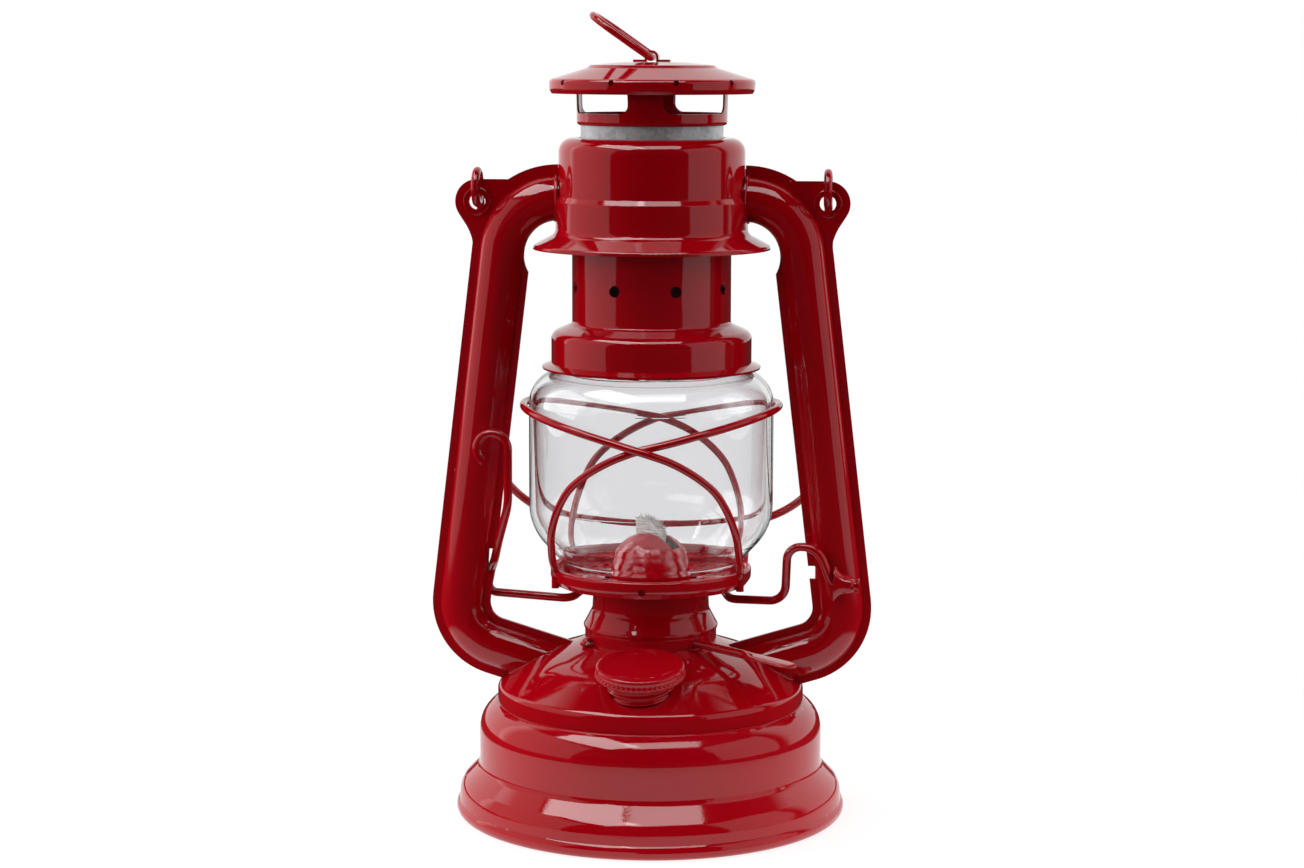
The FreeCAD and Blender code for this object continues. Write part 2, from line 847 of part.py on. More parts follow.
def make_hood():
    hood = turned_sheet(hood_corners())
    entry = rod(Vector(-hood_radius, 0, tube_level), Vector(1, 0, 0), air_hole_radius, 2 * hood_radius)
    drills = [entry]
    for point in ring_of(hood_vents, flue_hole_radius, hood_top - 2 * sheet, 180 / hood_vents):
        drills.append(rod(point, up, hood_vent_radius, 3 * sheet))
    return drilled(hood, drills)


# Globe plate, globe and guard

def make_globe_plate():
    rim_top = floor_level + plate_rim_above_floor
    plate = turned_sheet([
        (plate_radius - plate_rim_tuck, floor_level - plate_rim_below_floor, 0),
        (plate_radius, floor_level - plate_belly_drop, plate_belly_bend),
        (plate_radius, rim_top, plate_rim_bend),
        (plate_radius - plate_rim_width, rim_top, plate_rim_bend),
        (plate_radius - plate_rim_width, floor_level, 0),
        (plate_hole_radius, floor_level, 0),
    ])
    drills = []
    for count, circle in ((inner_vents, inner_vent_circle), (outer_vents, outer_vent_circle)):
        for point in ring_of(count, circle, plate_level - sheet):
            drills.append(rod(point, up, vent_hole_radius, 3 * sheet))
    for side in (1, -1):
        drills.append(make_guard_wire(side, guard_wire_radius + seat_gap))
    hole = Vector(0, -plate_radius - sheet, floor_level - rim_hole_drop)
    drills.append(rod(hole, Vector(0, 1, 0), rim_hole_radius, 2.5 * sheet))
    return drilled(plate, drills)


def make_globe():
    foot = floor_level + seat_gap
    return turned_sheet([
        (globe_foot_radius, foot, 0),
        (globe_foot_radius + globe_foot_flare, foot + globe_foot_height, globe_foot_bend),
        (globe_radius, foot + globe_bulge_height, globe_bulge_bend),
        (globe_radius, foot + globe_shoulder_height, globe_shoulder_bend),
        (globe_neck_radius, foot + globe_neck_height, globe_neck_bend),
        (globe_neck_radius, foot + globe_neck_height + globe_rim_height, 0),
    ], globe_wall)


def make_guard_wire(side, radius):
    """Guard wire with both feet on one side. Each wire passes outside the other at one crossing."""
    stand = globe_radius + guard_wire_radius + guard_stand_off
    inner_cross = globe_radius + guard_wire_radius + guard_cross_gap
    outer_cross = inner_cross + 2 * guard_wire_radius + guard_cross_room
    cross_front = outer_cross if side > 0 else inner_cross
    cross_back = inner_cross if side > 0 else outer_cross
    top = guard_top_height
    near = [
        Vector(guard_foot_x, guard_foot_y, -guard_foot_drop),
        Vector(guard_foot_x, guard_foot_y, guard_foot_rise),
        Vector(guard_foot_x + 0.005 * top, guard_foot_y + 0.1122 * top, 0.132 * top),
        Vector(guard_foot_x - 0.005 * top, guard_foot_y + 0.267 * top, 0.3036 * top),
    ]
    rising = [(0.6564, 0.4389), (0.5639, 0.5776), (0.4141, 0.6799), (0.2335, 0.7624)]
    falling = [(-0.1872, 0.8614), (-0.4075, 0.9026), (-0.6278, 0.9406), (-0.815, 0.9719), (-0.9515, 0.9934)]

    def beside_globe(places, reach):
        """Points round the glass, from shares of the reach sideways and of the guard's height."""
        for x, z in places:
            yield Vector(x * reach, reach * math.sqrt(1 - x * x), z * top)

    half = near + list(beside_globe(rising, stand))
    after = list(beside_globe(falling, stand))
    points = [Vector(p.x, -p.y, p.z) for p in half]
    points.append(Vector(guard_cross_x, -cross_front, guard_cross_height))
    points += [Vector(p.x, -p.y, p.z) for p in after]
    points.append(Vector(-stand, 0, top))
    points += reversed(after)
    points.append(Vector(guard_cross_x, cross_back, guard_cross_height))
    points += reversed(half)
    placed = [Vector(side * p.x, p.y, p.z + floor_level) for p in points]
    return swept_wire(rounded(smooth_corners(placed)), radius)


# Chimney

def make_chimney_bell():
    drum_top = bell_level + bell_drum_height
    stack_foot = drum_top + stack_foot_rise
    bell = turned_sheet([
        (flange_radius, bell_level, 0),
        (bell_radius, bell_level + bell_flange_rise, 0),
        (bell_radius, drum_top, bell_drum_bend),
        (stack_radius, stack_foot, stack_foot_bend),
        (stack_radius, stack_top, stack_top_bend),
        (flue_radius + seat_gap, stack_top, 0),
    ])
    height = stack_foot + stack_hole_height
    drills = []
    for point in ring_of(stack_holes, stack_radius + sheet, height, 180 / stack_holes):
        drills.append(rod(point, Vector(-point.x, -point.y, 0), stack_hole_radius, 3 * sheet))
    return drilled(bell, drills)


def make_flue():
    foot = stack_top - flue_overlap
    length = cage_level + cage_band - flue_below_window - foot
    outside = rod(Vector(0, 0, foot), up, flue_radius, length)
    return outside.cut(rod(Vector(0, 0, foot), up, flue_radius - flue_wall, length))


def make_cap_cage():
    cage = turned_sheet([
        (flue_radius + seat_gap, cage_level, 0),
        (cage_radius, cage_level, cage_foot_bend),
        (cage_radius, cage_level + cage_band, 0),
        (cage_radius + cage_flare, cage_level + cage_height, 0),
    ])
    cutters = []
    sill = cage_level + cage_band
    outside = cage_radius + 2 * cage_flare
    for i in range(4):
        size = window_corner
        edges = rounded([
            (Vector(outside, 0, sill), 0),
            (Vector(outside, -window_width / 2, sill), size),
            (Vector(outside, -window_width / 2, sill + window_height), size),
            (Vector(outside, window_width / 2, sill + window_height), size),
            (Vector(outside, window_width / 2, sill), size),
            (Vector(outside, 0, sill), 0),
        ])
        cutter = Part.Face(Part.Wire(edges)).extrude(Vector(-cage_radius, 0, 0))
        cutter.rotate(origin, up, 45 + 90 * i)
        cutters.append(cutter)
    return drilled(cage, cutters)


def make_cap_disc():
    brim_top = brim_level + brim_height
    disc = turned_sheet([
        (cap_disc_radius - brim_tuck, brim_level, 0),
        (cap_disc_radius, brim_level + brim_tuck_height, brim_bend),
        (cap_disc_radius, brim_top, brim_bend),
        (cap_slope_radius, brim_top + cap_slope_rise, cap_step_bend),
        (cap_slope_radius - cap_step_width, brim_top + cap_slope_rise + cap_step, cap_step_bend),
        (cap_slope_radius / 2, cap_top, cap_crown_bend),
        (0, cap_top, 0),
    ])
    drills = []
    for point in ring_of(brim_holes, cap_disc_radius + sheet, brim_top - brim_hole_drop):
        drills.append(rod(point, Vector(-point.x, -point.y, 0), brim_hole_radius, 3 * sheet))
    return drilled(disc, drills)


def staple_centre():
    return cap_top + seat_gap + ring_wire_radius + staple_room


def make_ring_staple():
    centre = staple_centre()
    inner = ring_wire_radius + staple_room
    outer = inner + staple_wall
    foot = cap_top + seat_gap
    reach = outer + staple_foot

    def at(x, z):
        return Vector(x, -staple_width / 2, z)

    edges = [
        line(at(-reach, foot), at(-inner, foot)),
        line(at(-inner, foot), at(-inner, centre)),
        Part.Arc(at(-inner, centre), at(0, centre + inner), at(inner, centre)).toShape(),
        line(at(inner, centre), at(inner, foot)),
        line(at(inner, foot), at(reach, foot)),
        line(at(reach, foot), at(reach, foot + staple_wall)),
        line(at(reach, foot + staple_wall), at(outer, foot + staple_wall)),
        line(at(outer, foot + staple_wall), at(outer, centre)),
        Part.Arc(at(outer, centre), at(0, centre + outer), at(-outer, centre)).toShape(),
        line(at(-outer, centre), at(-outer, foot + staple_wall)),
        line(at(-outer, foot + staple_wall), at(-reach, foot + staple_wall)),
        line(at(-reach, foot + staple_wall), at(-reach, foot)),
    ]
    return Part.Face(Part.Wire(edges)).extrude(Vector(0, staple_width, 0))


def make_top_ring():
    """Oval ring with a straight pivot side in the staple, leaning to the left."""
    half = ring_width / 2
    far = ring_length - ring_wire_radius
    corners = [
        (Vector(0, -ring_wire_radius, 0), 0),
        (Vector(0, -half + ring_wire_radius, 0), ring_pivot_bend),
        (Vector(-ring_waist, -half, 0), ring_waist_bend),
        (Vector(-far, -half, 0), 0.98 * half),
        (Vector(-far, half, 0), 0.98 * half),
        (Vector(-ring_waist, half, 0), ring_waist_bend),
        (Vector(0, half - ring_wire_radius, 0), ring_pivot_bend),
        (Vector(0, -seat_gap, 0), 0),
    ]
    ring = swept_wire(rounded(corners), ring_wire_radius)
    ring.rotate(origin, Vector(0, 1, 0), ring_lean)
    ring.translate(Vector(0, 0, staple_centre()))
    return ring


def coil_edges(radius, foot, head, turns):
    """Helix edges about Z as two tangent arcs for each quarter turn."""
    steps = 4 * turns
    climb = (head - foot) / (2 * math.pi * turns * radius)
    places = []
    for i in range(steps + 1):
        angle = 2 * math.pi * i / 4
        point = Vector(radius * math.cos(angle), radius * math.sin(angle), foot + (head - foot) * i / steps)
        heading = Vector(-math.sin(angle), math.cos(angle), climb).normalize()
        places.append((point, heading))
    edges = []
    for (start, leaving), (end, arriving) in zip(places, places[1:]):
        chord = end - start
        a = 2 * (1 - leaving.dot(arriving))
        b = 2 * chord.dot(leaving + arriving)
        reach = (-b + math.sqrt(b * b + 4 * a * chord.dot(chord))) / (2 * a)
        first = start + leaving * reach
        second = end - arriving * reach
        joint = (first + second) * 0.5
        for near, control, far in ((start, first, joint), (joint, second, end)):
            half = (far - near) * 0.5
            middle = near + half
            turn = half.getAngle(control - near)
            rise = (control - middle).normalize() * (half.Length * math.tan(turn / 2))
            edges.append(Part.Arc(near, middle + rise, far).toShape())
    return edges


def make_chimney_spring():
    foot = stack_top + spring_wire_radius + loose_gap
    head = hood_top - sheet - spring_wire_radius - loose_gap
    pitch = (head - foot) / spring_turns
    print("chimney spring least gap", round(pitch - 2 * spring_wire_radius, 3))
    return swept_wire(coil_edges(spring_radius, foot, head, spring_turns), spring_wire_radius)


# Lift lever and its strap

def lever_axis():
    """Two points of the lever's turning axis: in the left notch, and in the strap on the right."""
    left = Vector(-lever_cross_offset, 0, lever_cross_height)
    forward = tube_half_depth + strap_wall + loose_gap + lever_wire_radius
    return left, Vector(lever_pivot_offset, -forward, lever_pivot_height)


def make_lift_lever():
    left, right = lever_axis()
    heading = (right - left).normalize()
    low = plate_level - lever_low_run
    yoke = plate_level - loose_gap - lever_wire_radius
    front = -handle_forward
    curl_centre = Vector(-handle_offset - handle_curl, front, handle_height)

    def on_curl(degrees):
        angle = math.radians(degrees)
        return curl_centre + Vector(handle_curl * math.cos(angle), 0, handle_curl * math.sin(angle))

    curl = Part.Arc(on_curl(handle_curl_turn), on_curl(handle_curl_turn / 2), on_curl(0)).toShape()
    yoke_reach = collar_radius + 4.2
    stub = right + heading * (strap_length / 2 + 2.6)
    corners = [
        (on_curl(0), 0),
        (Vector(-handle_offset, front, lever_cross_height + 21.5), 14.0),
        (Vector(-handle_offset - 4.2, front + 6.5, lever_cross_height + 8.0), 10.0),
        (left, 8.0),
        (Vector(-lever_cross_offset - 2.2, 7.0, lever_cross_height - 5.0), 5.0),
        (Vector(-lever_cross_offset - 3.8, 6.6, low + 1.2), 3.2),
        (Vector(-yoke_reach - 1.5, 5.0, low - 0.5), 5.0),
        (Vector(-yoke_reach + 3.5, 17.0, low + 2.4), 9.0),
        (Vector(-yoke_reach * 0.45, yoke_reach, yoke), 9.0),
        (Vector(yoke_reach * 0.45, yoke_reach, yoke), 9.0),
        (Vector(yoke_reach - 3.5, 17.0, low + 2.4), 9.0),
        (Vector(yoke_reach + 0.5, 3.0, low + 0.8), 6.0),
        (Vector(lever_pivot_offset - 20.4, -4.0, low + 1.8), 7.0),
        (Vector(lever_pivot_offset - 19.5, -8.8, lever_hump_height), 5.6),
        (Vector(lever_pivot_offset - 8.9, -11.0, lever_hump_height), 7.2),
        (right - heading * (strap_length / 2 + 1.9), 2.6),
        (stub, 0),
    ]
    return swept_wire([curl] + rounded(corners), lever_wire_radius)


def make_lever_strap():
    """Pressed bridge that holds the lever's end against the front of the right tube."""
    left, right = lever_axis()
    heading = (right - left).normalize()
    inner = lever_wire_radius + running_gap
    outer = inner + strap_wall
    back = -right.y - tube_half_depth - seat_gap

    def at(forward, rise):
        return Vector(0, -forward, rise)

    edges = [
        line(at(-back, -outer - strap_foot), at(-back, -inner)),
        line(at(-back, -inner), at(0, -inner)),
        Part.Arc(at(0, -inner), at(inner, 0), at(0, inner)).toShape(),
        line(at(0, inner), at(-back, inner)),
        line(at(-back, inner), at(-back, outer + strap_foot)),
        line(at(-back, outer + strap_foot), at(strap_wall - back, outer + strap_foot)),
        line(at(strap_wall - back, outer + strap_foot), at(strap_wall - back, outer)),
        line(at(strap_wall - back, outer), at(0, outer)),
        Part.Arc(at(0, outer), at(outer, 0), at(0, -outer)).toShape(),
        line(at(0, -outer), at(strap_wall - back, -outer)),
        line(at(strap_wall - back, -outer), at(strap_wall - back, -outer - strap_foot)),
        line(at(strap_wall - back, -outer - strap_foot), at(-back, -outer - strap_foot)),
    ]
    strap = Part.Face(Part.Wire(edges)).extrude(Vector(strap_length, 0, 0))
    strap.translate(Vector(-strap_length / 2, 0, 0))
    strap.Placement = FreeCAD.Placement(right, FreeCAD.Rotation(Vector(1, 0, 0), heading))
    return strap


# Bail

def make_bail():
    """Carrying wire with an eye in each ear, hanging behind the lantern."""
    lean = math.radians(bail_lean)
    down = Vector(0, math.sin(lean), -math.cos(lean))
    square = Vector(0, math.cos(lean), math.sin(lean))
    eye = Vector(ear_offset, 0, ear_height + (ear_radius + ear_hole_radius) / 2 - 0.3)

    def on_eye(degrees):
        angle = math.radians(degrees)
        return eye + (square * math.cos(angle) + down * math.sin(angle)) * bail_eye_radius

    def mirrored(point):
        return Vector(-point.x, point.y, point.z)

    leg_start = eye + square * bail_eye_radius
    eye_end = -305
    curl = Part.Arc(on_eye(eye_end), on_eye(eye_end / 2), on_eye(0)).toShape()
    far_curl = Part.Arc(
        mirrored(on_eye(0)), mirrored(on_eye(eye_end / 2)), mirrored(on_eye(eye_end))).toShape()
    foot = leg_start + down * bail_drop
    low = Vector(0, foot.y, foot.z)
    spread = Vector(bail_spread, 0, 0)
    knee = leg_start + down * bail_knee_drop
    corners = [
        (leg_start, 0),
        (knee, bail_knee_bend),
        (low + spread - down * bail_bottom_rise, bail_corner),
        (low, bail_belly_bend),
        (mirrored(low + spread - down * bail_bottom_rise), bail_corner),
        (mirrored(knee), bail_knee_bend),
        (mirrored(leg_start), 0),
    ]
    return swept_wire([curl] + rounded(corners) + [far_curl], bail_wire_radius)


def build_pieces():
    pieces = {
        "tank_shell": make_tank_shell(),
        "tank_bottom": make_tank_bottom(),
        "tank_top": make_tank_top(),
        "air_dome": make_air_dome(),
        "filler_neck": make_filler_neck(),
        "cap_gasket": make_cap_gasket(),
        "fuel_cap": make_fuel_cap(),
        "burner_collar": make_burner_collar(),
        "burner_base": make_burner_base(),
        "wick_tube": make_wick_tube(),
        "burner_cone": make_burner_cone(),
        "wick": make_wick(),
        "wick_spindle": make_wick_spindle(),
        "wick_sprockets": make_wick_sprockets(),
        "hood": make_hood(),
        "globe_plate": make_globe_plate(),
        "globe": make_globe(),
        "guard_wire_right": make_guard_wire(1, guard_wire_radius),
        "guard_wire_left": make_guard_wire(-1, guard_wire_radius),
        "chimney_bell": make_chimney_bell(),
        "flue": make_flue(),
        "cap_cage": make_cap_cage(),
        "cap_disc": make_cap_disc(),
        "ring_staple": make_ring_staple(),
        "top_ring": make_top_ring(),
        "chimney_spring": make_chimney_spring(),
        "lift_lever": make_lift_lever(),
        "lever_strap": make_lever_strap(),
        "bail": make_bail(),
    }
    pieces.update(make_tubes())
    return pieces


os.makedirs("parts", exist_ok=True)
lantern = build_pieces()
for name, shape in lantern.items():
    shape.exportStep("parts/" + name + ".step")
    state = "valid" if shape.isValid() else "NOT VALID"
    print(name, len(shape.Solids), "solids", state, round(shape.Volume, 1))
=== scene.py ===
import math

import bmesh
import bpy
import numpy as np
from mathutils import Matrix, Vector


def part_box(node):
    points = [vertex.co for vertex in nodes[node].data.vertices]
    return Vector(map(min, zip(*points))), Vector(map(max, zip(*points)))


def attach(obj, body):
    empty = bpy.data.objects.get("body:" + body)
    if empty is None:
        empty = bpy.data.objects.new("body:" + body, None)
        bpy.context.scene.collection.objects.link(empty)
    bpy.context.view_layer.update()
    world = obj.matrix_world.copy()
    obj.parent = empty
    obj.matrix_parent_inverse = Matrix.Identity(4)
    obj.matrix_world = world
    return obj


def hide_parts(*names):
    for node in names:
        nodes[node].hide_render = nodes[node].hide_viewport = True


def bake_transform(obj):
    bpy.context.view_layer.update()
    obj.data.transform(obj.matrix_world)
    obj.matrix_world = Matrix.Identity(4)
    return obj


# A tubular hurricane lantern in red enamel, dressed from the tank up, in the order in which it
# is put together. Shapes are worked out in millimetres and put into the mesh in metres.

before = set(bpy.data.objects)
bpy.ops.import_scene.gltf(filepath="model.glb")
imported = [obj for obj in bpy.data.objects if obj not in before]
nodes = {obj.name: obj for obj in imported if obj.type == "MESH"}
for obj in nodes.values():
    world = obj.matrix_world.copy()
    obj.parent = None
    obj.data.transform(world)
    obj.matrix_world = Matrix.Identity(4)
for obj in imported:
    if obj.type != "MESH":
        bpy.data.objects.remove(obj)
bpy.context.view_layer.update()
scene = bpy.context.scene
scene.view_settings.view_transform = "Standard"


# Camera: a long lens that stands in front of the lantern, a little to its right, and looks down on
# it by a few degrees.

camera_distance = 0.974
camera_height = 0.2685
camera_side = math.radians(4.9)
camera_turn = camera_side - math.radians(0.0164)
camera_pitch = math.radians(7.8)
camera_roll = math.radians(0.16)

camera = bpy.data.objects.new("camera", bpy.data.cameras.new("camera"))
camera.data.lens = 77.02
camera.data.sensor_width = 36.0
camera.data.clip_start = 0.05
rightward = Vector((math.cos(camera_turn), math.sin(camera_turn), 0))
ahead = Vector((
    -math.sin(camera_turn) * math.cos(camera_pitch),
    math.cos(camera_turn) * math.cos(camera_pitch),
    -math.sin(camera_pitch)))
upward = rightward.cross(ahead)
rolled_right = rightward * math.cos(camera_roll) + upward * math.sin(camera_roll)
rolled_up = upward * math.cos(camera_roll) - rightward * math.sin(camera_roll)
facing = Matrix((rolled_right, rolled_up, -ahead)).transposed()
place = Vector((
    camera_distance * math.sin(camera_side), -camera_distance * math.cos(camera_side), camera_height))
camera.matrix_world = Matrix.Translation(place) @ facing.to_4x4()
scene.collection.objects.link(camera)
scene.camera = camera


# Lamps: a soft lamp hangs at the front left with a low fill under it, and two cards overhead draw
# the highlights on the rims. On each side a large panel draws the long bands on the tubes, and a fill
# beside it lights the matt red.

def soft_panel(name, size, place, aim, radiance, lights=True, mirrors=True, roll=0.0):
    """Rectangular lamp that faces a height on the lantern's axis.

    Its power is the radiance of its face times pi times its area. It lights the matt colour, or shows as a
    reflection, or both. roll turns it about its own axis.
    """
    width, height = size
    lamp = bpy.data.lights.new(name, "AREA")
    lamp.shape = "RECTANGLE"
    lamp.size = width
    lamp.size_y = height
    lamp.energy = radiance * math.pi * width * height
    way = Vector((0, 0, aim)) - Vector(place)
    panel = bpy.data.objects.new(name, lamp)
    turned_to = way.to_track_quat("-Z", "Y").to_matrix().to_4x4()
    panel.matrix_world = (
        Matrix.Translation(place) @ turned_to @ Matrix.Rotation(math.radians(roll), 4, "Z"))
    panel.visible_diffuse = lights
    panel.visible_glossy = mirrors
    scene.collection.objects.link(panel)


def around(azimuth, distance, height):
    """Place at that azimuth in degrees, counted from the camera's side towards +X."""
    angle = math.radians(azimuth - 90)
    return (distance * math.cos(angle), distance * math.sin(angle), height)


soft_panel("key_lamp", (0.8, 0.4), around(-35, 0.85, 1.05), aim=0.12, radiance=1.4, mirrors=False)
soft_panel("front_fill", (0.7, 0.3), around(-32, 0.95, 0.42), aim=0.2, radiance=2.3, mirrors=False)
soft_panel("top_card_left", (1.0, 0.5), around(-52, 0.62, 1.15), aim=0.1, radiance=6.0, lights=False,
           roll=-14.0)
soft_panel("top_card_right", (0.8, 0.5), around(18, 0.55, 1.15), aim=0.1, radiance=4.2, lights=False)
soft_panel("left_panel", (1.5, 1.1), around(-81, 1.0, 0.45), aim=0.15, radiance=0.56, lights=False)
soft_panel("left_fill", (1.1, 1.0), around(-98, 0.9, 0.42), aim=0.13, radiance=2.7, mirrors=False)
soft_panel("right_panel", (0.95, 1.1), around(74, 1.0, 0.45), aim=0.15, radiance=0.6, lights=False)
soft_panel("right_fill", (1.1, 1.0), around(95, 0.9, 0.42), aim=0.13, radiance=1.9, mirrors=False)


# Room: white wherever the camera sees it, also through the glass. The enamel mirrors it as a bright
# wall behind the lantern, and the matt colour gets a weaker light from behind and above.

wall_start, wall_end = 0.28, 0.42
faces_of_both_walls = 4


def plug(tree, target, places):
    """Gives sockets of a node a plain value each, or a link from another socket."""
    for key, source in places.items():
        if isinstance(source, bpy.types.NodeSocket):
            tree.links.new(source, target.inputs[key])
        else:
            target.inputs[key].default_value = source
    return target


def node(tree, kind, places=None, **settings):
    """Shader node of that kind, with its settings and its sockets plugged."""
    made = tree.nodes.new(kind)
    for key, value in settings.items():
        setattr(made, key, value)
    return plug(tree, made, places or {})


def math_node(tree, operation, *sources, clamp=False):
    """Value worked out from two or three sources, each a socket or a plain value."""
    made = node(tree, "ShaderNodeMath", dict(enumerate(sources)), operation=operation, use_clamp=clamp)
    return made.outputs[0]


def ramp(tree, source, low, high, start=0.0, end=1.0, kind="LINEAR"):
    """Value carried from low..high to start..end, held at both ends."""
    made = node(tree, "ShaderNodeMapRange", {
        "Value": source, "From Min": low, "From Max": high, "To Min": start, "To Max": end},
        interpolation_type=kind)
    return made.outputs["Result"]


def camera_sight(tree):
    """Socket that is 1 for rays from the camera, also through glass, and 0 after a matt or mirror bounce.

    It is the greater of the camera's and the transmission's flag, less the number of matt bounces. A mirror
    bounce counts only after all faces of the globe's two walls, so that the glass's own edges stay clear.
    """
    path = node(tree, "ShaderNodeLightPath").outputs
    direct = math_node(tree, "MAXIMUM", path["Is Camera Ray"], path["Is Transmission Ray"])
    both_walls = math_node(tree, "GREATER_THAN", path["Transmission Depth"], faces_of_both_walls - 0.5)
    bounces = math_node(tree, "MULTIPLY_ADD", path["Glossy Depth"], both_walls, path["Diffuse Depth"])
    return math_node(tree, "SUBTRACT", direct, bounces, clamp=True)


world = bpy.data.worlds.new("studio")
world.use_nodes = True
scene.world = world
tree = world.node_tree
tree.nodes.clear()
direction = node(tree, "ShaderNodeTexCoord").outputs["Generated"]
depth_part = node(tree, "ShaderNodeSeparateXYZ", {0: direction}).outputs["Y"]
wall_behind = ramp(tree, depth_part, wall_start, wall_end)
behind_above = node(tree, "ShaderNodeVectorMath", {
    0: direction, 1: (0.0, 0.6, 0.5)}, operation="DOT_PRODUCT").outputs["Value"]
soft_light = ramp(tree, behind_above, low=-0.15, high=0.55, start=0.01, end=0.7)
is_mirrored = node(tree, "ShaderNodeLightPath").outputs["Is Glossy Ray"]
bounced = node(tree, "ShaderNodeMix", {
    0: is_mirrored, 2: soft_light, 3: wall_behind}, data_type="FLOAT").outputs[0]
strength = math_node(tree, "MAXIMUM", camera_sight(tree), bounced)
sky = node(tree, "ShaderNodeBackground", {"Color": (1, 1, 1, 1), "Strength": strength})
node(tree, "ShaderNodeOutputWorld", {"Surface": sky.outputs[0]})


# Table: white paper that takes the lantern's shadow and fades into the white of the room. Bounced
# rays find it bright only around the foot, so that the enamel mirrors a dark room beyond.

floor_half = 3
fade_start, fade_end = 0.14, 0.34
mirrored_start, mirrored_end = 0.165, 0.19
floor_mesh = bpy.data.meshes.new("floor")
floor_mesh.from_pydata(
    [(floor_half * x, floor_half * y, 0) for x, y in ((-1, -1), (1, -1), (1, 1), (-1, 1))],
    [], [(0, 1, 2, 3)])
floor = bpy.data.objects.new("floor", floor_mesh)
scene.collection.objects.link(floor)
paper = bpy.data.materials.new("white_table")
paper.use_nodes = True
tree = paper.node_tree
tree.nodes.clear()
spot = node(tree, "ShaderNodeTexCoord").outputs["Object"]
reach = node(tree, "ShaderNodeVectorMath", {0: spot}, operation="LENGTH").outputs["Value"]
matt = node(tree, "ShaderNodeBsdfDiffuse", {"Color": (0.30, 0.30, 0.30, 1)})
glow = node(tree, "ShaderNodeEmission", {"Strength": 0.79})
near_paper = node(tree, "ShaderNodeAddShader", {0: matt.outputs[0], 1: glow.outputs[0]})
far_paper = node(tree, "ShaderNodeEmission", {"Strength": 1.0})
seen_paper = node(tree, "ShaderNodeMixShader", {
    0: ramp(tree, reach, fade_start, fade_end, kind="SMOOTHSTEP"),
    1: near_paper.outputs[0], 2: far_paper.outputs[0]})
bounced_paper = node(tree, "ShaderNodeEmission", {
    "Strength": ramp(tree, reach, mirrored_start, mirrored_end, start=0.9, end=0.03)})
surface = node(tree, "ShaderNodeMixShader", {
    0: math_node(tree, "SUBTRACT", 1.0, camera_sight(tree)),
    1: seen_paper.outputs[0], 2: bounced_paper.outputs[0]})
node(tree, "ShaderNodeOutputMaterial", {"Surface": surface.outputs[0]})
floor_mesh.materials.append(paper)


# Tank: a pressed steel wall with a rolled foot, a dished bottom seamed into it and an inner top,
# all dipped in glossy red stoving enamel. The enamel is a little uneven, runs thin over sharp edges
# and is chipped where the foot has been set down.

def mixed(tree, share, first, second):
    """Colour between two, each a socket or three numbers, by a share socket."""
    first, second = ((*source, 1) if isinstance(source, tuple) else source for source in (first, second))
    return node(tree, "ShaderNodeMix", {0: share, 6: first, 7: second}, data_type="RGBA").outputs[2]


def bumped(tree, height, distance):
    """Normal of a surface raised by that height socket times a distance in metres."""
    return node(tree, "ShaderNodeBump", {"Height": height, "Distance": distance}).outputs["Normal"]


def noise(tree, position, scale, detail, roughness=0.5):
    """Value of a cloudy pattern at that position."""
    return node(tree, "ShaderNodeTexNoise", {
        "Vector": position, "Scale": scale, "Detail": detail, "Roughness": roughness}).outputs["Fac"]


def shader_group(name, inputs, outputs):
    """Empty node group with named inputs, each a kind and a value, and named outputs."""
    group = bpy.data.node_groups.new(name, "ShaderNodeTree")
    for label, (kind, value) in inputs.items():
        socket = group.interface.new_socket(label, in_out="INPUT", socket_type=kind)
        socket.default_value = value
    for label, kind in outputs.items():
        group.interface.new_socket(label, in_out="OUTPUT", socket_type=kind)
    return group, group.nodes.new("NodeGroupInput").outputs, group.nodes.new("NodeGroupOutput")


uneven, given, result = shader_group(
    "uneven_surface",
    {"Position": ("NodeSocketVector", (0, 0, 0)), "Wave Scale": ("NodeSocketFloat", 30.0),
     "Grain Scale": ("NodeSocketFloat", 900.0), "Grain Share": ("NodeSocketFloat", 0.1)},
    {"Height": "NodeSocketFloat", "Mask": "NodeSocketFloat"})
waves = noise(uneven, given["Position"], given["Wave Scale"], detail=1.0, roughness=0.4)
grain = noise(uneven, given["Position"], given["Grain Scale"], detail=1.0)
grain = math_node(uneven, "MULTIPLY", grain, given["Grain Share"])
plug(uneven, result, {"Height": math_node(uneven, "ADD", waves, grain), "Mask": waves})

worn, given, result = shader_group(
    "worn_edges",
    {"Position": ("NodeSocketVector", (0, 0, 0)), "Edge Width": ("NodeSocketFloat", 0.0005),
     "Chip Scale": ("NodeSocketFloat", 260.0), "Chip Share": ("NodeSocketFloat", 0.3)},
    {"Edge": "NodeSocketFloat", "Chips": "NodeSocketFloat"})
flat_face, sharp_edge = 0.995, 0.86
chip_limit = 0.86
rounded = node(worn, "ShaderNodeBevel", {"Radius": given["Edge Width"]}, samples=3)
drawn = node(worn, "ShaderNodeNewGeometry")
likeness = node(worn, "ShaderNodeVectorMath", {
    0: rounded.outputs["Normal"], 1: drawn.outputs["Normal"]}, operation="DOT_PRODUCT").outputs["Value"]
edge = ramp(worn, likeness, flat_face, sharp_edge)
patches = noise(worn, given["Position"], given["Chip Scale"], detail=3.0, roughness=0.6)
limit = math_node(worn, "SUBTRACT", chip_limit, math_node(worn, "MULTIPLY", given["Chip Share"], edge))
chips = ramp(worn, math_node(worn, "SUBTRACT", patches, limit), 0.0, 0.02)
plug(worn, result, {"Edge": edge, "Chips": chips})


wave_low, wave_high = 0.3, 0.7
thin_share = 0.6
chip_roughness = 0.35


